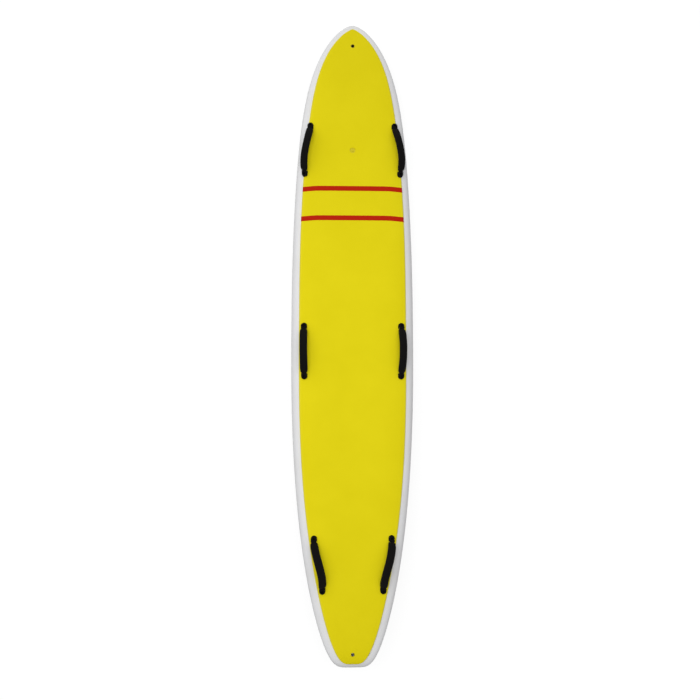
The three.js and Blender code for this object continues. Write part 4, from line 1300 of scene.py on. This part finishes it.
# %% Vent bush
VENT_DEPTH = 20 * MM
VENT_RADIUS = 8 * MM
VENT_BORE_RADIUS = 3.3 * MM
VENT_RECESS_RADIUS = 6.2 * MM
VENT_RECESS_DEPTH = 1 * MM
VENT_EDGE = 0.8 * MM
flange_top = 2.5 * MM + FIT_GAP
flange = VENT_FLANGE / 2
seat = flange_top - VENT_RECESS_DEPTH
bush_profile = [
    (VENT_BORE_RADIUS, -VENT_DEPTH), (VENT_RADIUS, -VENT_DEPTH), (VENT_RADIUS, FIT_GAP),
    (flange, FIT_GAP), (flange, flange_top - VENT_EDGE), (flange - VENT_EDGE, flange_top),
    (VENT_RECESS_RADIUS, flange_top), (VENT_RECESS_RADIUS, seat), (VENT_BORE_RADIUS, seat),
    (VENT_BORE_RADIUS, -VENT_DEPTH),
]
vent_stand = BOARD @ vent_frame
vent = finished("vent_bush", turn(bush_profile, ROUND_SIDES), "vent_plastic", "board",
                ["vent_body"], vent_stand)
report(vent)

# %% Vent seal
SEAL_SECTION = 1.4 * MM
SEAL_RADIUS = 3.8 * MM
SEAL_SIDES = 16
seal = bmesh.new()
seal_middle = Matrix.Translation((SEAL_RADIUS, 0, seat + FIT_GAP + SEAL_SECTION / 2))
seal_ring = bmesh.ops.create_circle(seal, segments=SEAL_SIDES, radius=SEAL_SECTION / 2,
                                    matrix=seal_middle @ Matrix.Rotation(math.pi / 2, 4, "X"))
ring_edges = list({e for v in seal_ring["verts"] for e in v.link_edges})
bmesh.ops.spin(seal, geom=seal_ring["verts"] + ring_edges, cent=(0, 0, 0), axis=(0, 0, 1),
               angle=math.tau, steps=TURN_STEPS, use_merge=True)
ring = finished("vent_ring_seal", closed(seal, TURN_JOIN), "seal_rubber", "vent_seal",
                ["vent_seal"], vent_stand)
report(ring)

# %% Vent screw
COIN_SCREW_RADIUS = 3 * MM
COIN_HEAD_RADIUS = 5.5 * MM
COIN_SCREW_EDGE = 0.6 * MM
COIN_HEAD_EDGE = 0.7 * MM
COIN_SLOT = (1.6 * MM, 14 * MM, 3.2 * MM)
head_low = seat + 2 * FIT_GAP + SEAL_SECTION
head_top = head_low + 3 * MM
tip = head_low - 14 * MM
coin_profile = [
    (0, tip), (COIN_SCREW_RADIUS - COIN_SCREW_EDGE, tip),
    (COIN_SCREW_RADIUS, tip + COIN_SCREW_EDGE), (COIN_SCREW_RADIUS, head_low),
    (COIN_HEAD_RADIUS, head_low), (COIN_HEAD_RADIUS, head_top - COIN_HEAD_EDGE),
    (COIN_HEAD_RADIUS - COIN_HEAD_EDGE, head_top), (0, head_top),
]
bar = bmesh.new()
bmesh.ops.create_cube(bar, size=1, matrix=(
    Matrix.Translation((0, 0, head_top)) @ Matrix.Diagonal((*COIN_SLOT, 1))))
coin_screw = finished("vent_coin_screw", combined(turn(coin_profile), bar, "DIFFERENCE"),
                      "vent_plastic", "vent_screw", ["vent_screw"], vent_stand)
report(coin_screw)

# %% [markdown]
# ## The fin
# The fin is moulded in one: a foiled blade, thickest a third of the way back, that sweeps
# towards the tail and thins to its tip, on a flat tab that slides in the fin box. A screw and a
# brass plate clamp it at the front, and a pin holds it at the back. The blade is wrapped round a
# wing section, the tab is pulled out of its side view, and the two are joined and drilled.

# %% Fin blade and tab
FIN_TAB = 178 * MM
FIN_TAB_THICKNESS = 9 * MM
FIN_TAB_DEPTH = 18 * MM
FIN_TAB_EDGE = 0.6 * MM
FIN_LIP = (19 * MM, 8.6 * MM)
FIN_FOOT = 2 * MM
FIN_DEPTH = 120 * MM
FIN_SHOULDERS = 9 * MM
FIN_CHORD = FIN_TAB - FIN_LIP[0] - FIN_SHOULDERS
FIN_SWEEP = 62 * MM
FIN_SWEEP_POWER = 1.35
FIN_TIP_SHARE = 0.36
FIN_TAPER_POWER = 1.25
FIN_TIP_ROUNDING = 9
FIN_AROUND, FIN_ALONG = 56, 60
FIN_CREASE = 40
fin_frame = Matrix.Rotation(math.atan(keel_slope(FIN_Y)), 4, "X")
fin_frame.translation = (0, FIN_Y, section(FIN_Y)[2])


def foil_half(x, thickness):
    """Half thickness of a four-digit wing section at a share x of its chord."""
    nose = 0.2969 * math.sqrt(x)
    return 5 * thickness * (nose - 0.126 * x - 0.3516 * x ** 2 + 0.2843 * x ** 3 - 0.1036 * x ** 4)


def blade_point(u, v):
    """A point of the blade: u goes round its section, and v from the tab to the tip."""
    share = math.sin((v + 1) / 2 * math.pi / 2)
    taper = 1 - (1 - FIN_TIP_SHARE) * share ** FIN_TAPER_POWER
    chord = FIN_CHORD * taper * math.sqrt(max(1 - share ** FIN_TIP_ROUNDING, 0))
    middle = -FIN_SWEEP * share ** FIN_SWEEP_POWER
    depth = -FIN_FOOT / 2 - (FIN_DEPTH - FIN_FOOT / 2) * share
    x = (1 - math.cos(math.pi * abs(u))) / 2
    thick = foil_half(x, FIN_TAB_THICKNESS / FIN_CHORD) * chord
    return Vector((math.copysign(thick, u), middle + chord * (0.5 - x), depth))


tab = bmesh.new()
half = FIN_TAB / 2
lip_end = half - FIN_LIP[0]
outline = [(-half, -FIN_FOOT), (half, -FIN_FOOT), (half, FIN_LIP[1]), (lip_end, FIN_LIP[1]),
           (lip_end - FIN_LIP[1], FIN_TAB_DEPTH), (-half, FIN_TAB_DEPTH)]
side = tab.faces.new([tab.verts.new((-FIN_TAB_THICKNESS / 2, y, z)) for y, z in outline])
pulled = bmesh.ops.extrude_face_region(tab, geom=[side])
bmesh.ops.translate(tab, vec=(FIN_TAB_THICKNESS, 0, 0),
                    verts=[g for g in pulled["geom"] if isinstance(g, bmesh.types.BMVert)])
bmesh.ops.recalc_face_normals(tab, faces=tab.faces)
bmesh.ops.bevel(tab, geom=tab.edges[:], offset=FIN_TAB_EDGE, segments=2, profile=0.5,
                affect="EDGES", material=-1)
print("fin tab faces", len(tab.faces), "chord in mm", round(FIN_CHORD / MM, 1))

# %% Join and drill the fin
FIN_HOLE_RADIUS = 2.3 * MM
SCREW_DRILL = 50 * MM
PIN_DRILL = 15 * MM
PIN_FROM_END = 9 * MM
GROOVE = (9 * MM, 13.6 * MM)
screw_y = FIN_TAB / 2 - FIN_LIP[0] / 2
pin_y = PIN_FROM_END - FIN_TAB / 2
drills = prism(DRILL_SIDES, FIN_HOLE_RADIUS, -SCREW_DRILL, SCREW_DRILL)
drills.transform(Matrix.Translation((0, screw_y, 0)))
pin_place = Matrix.Translation((0, pin_y, sum(GROOVE) / 2)) @ Matrix.Rotation(math.pi / 2, 4, "Y")
merged(drills, prism(DRILL_SIDES, FIN_HOLE_RADIUS, -PIN_DRILL, PIN_DRILL), pin_place)
blade = closed(wrap(FIN_AROUND, FIN_ALONG, blade_point))
fin_form = combined(combined(blade, tab, "UNION"), drills, "DIFFERENCE")
fin = finished("fin_moulding", fin_form, "fin_plastic", "fin", ["fin"], BOARD @ fin_frame,
               crease=FIN_CREASE)
report(fin)

# %% Fin screw and pin
FIN_SCREW = {"head": 7.5 * MM, "head_height": 2.5 * MM, "shank": 4 * MM, "length": 14.6 * MM,
             "drive": 3.6 * MM}
FIN_PIN_HALF = 7.2 * MM
FIN_PIN_RADIUS = 2 * MM
FIN_PIN_EDGE = 0.3 * MM
screw_foot = Matrix.Translation((0, screw_y, -FIN_FOOT - FIT_GAP))
upside_down = Matrix.Rotation(math.pi, 4, "X")
clamp = finished("fin_clamp_screw", socket_screw(**FIN_SCREW), "screw_steel", "fin",
                 ["fin_screw"], BOARD @ fin_frame @ screw_foot @ upside_down)
report(clamp)
fin_pin_profile = [
    (0, -FIN_PIN_HALF), (FIN_PIN_RADIUS - FIN_PIN_EDGE, -FIN_PIN_HALF),
    (FIN_PIN_RADIUS, FIN_PIN_EDGE - FIN_PIN_HALF), (FIN_PIN_RADIUS, FIN_PIN_HALF - FIN_PIN_EDGE),
    (FIN_PIN_RADIUS - FIN_PIN_EDGE, FIN_PIN_HALF), (0, FIN_PIN_HALF),
]
fin_pin = finished("fin_roll_pin", turn(fin_pin_profile, DRILL_SIDES), "plate_brass", "fin",
                   ["fin_pin"], BOARD @ fin_frame @ pin_place)
report(fin_pin)
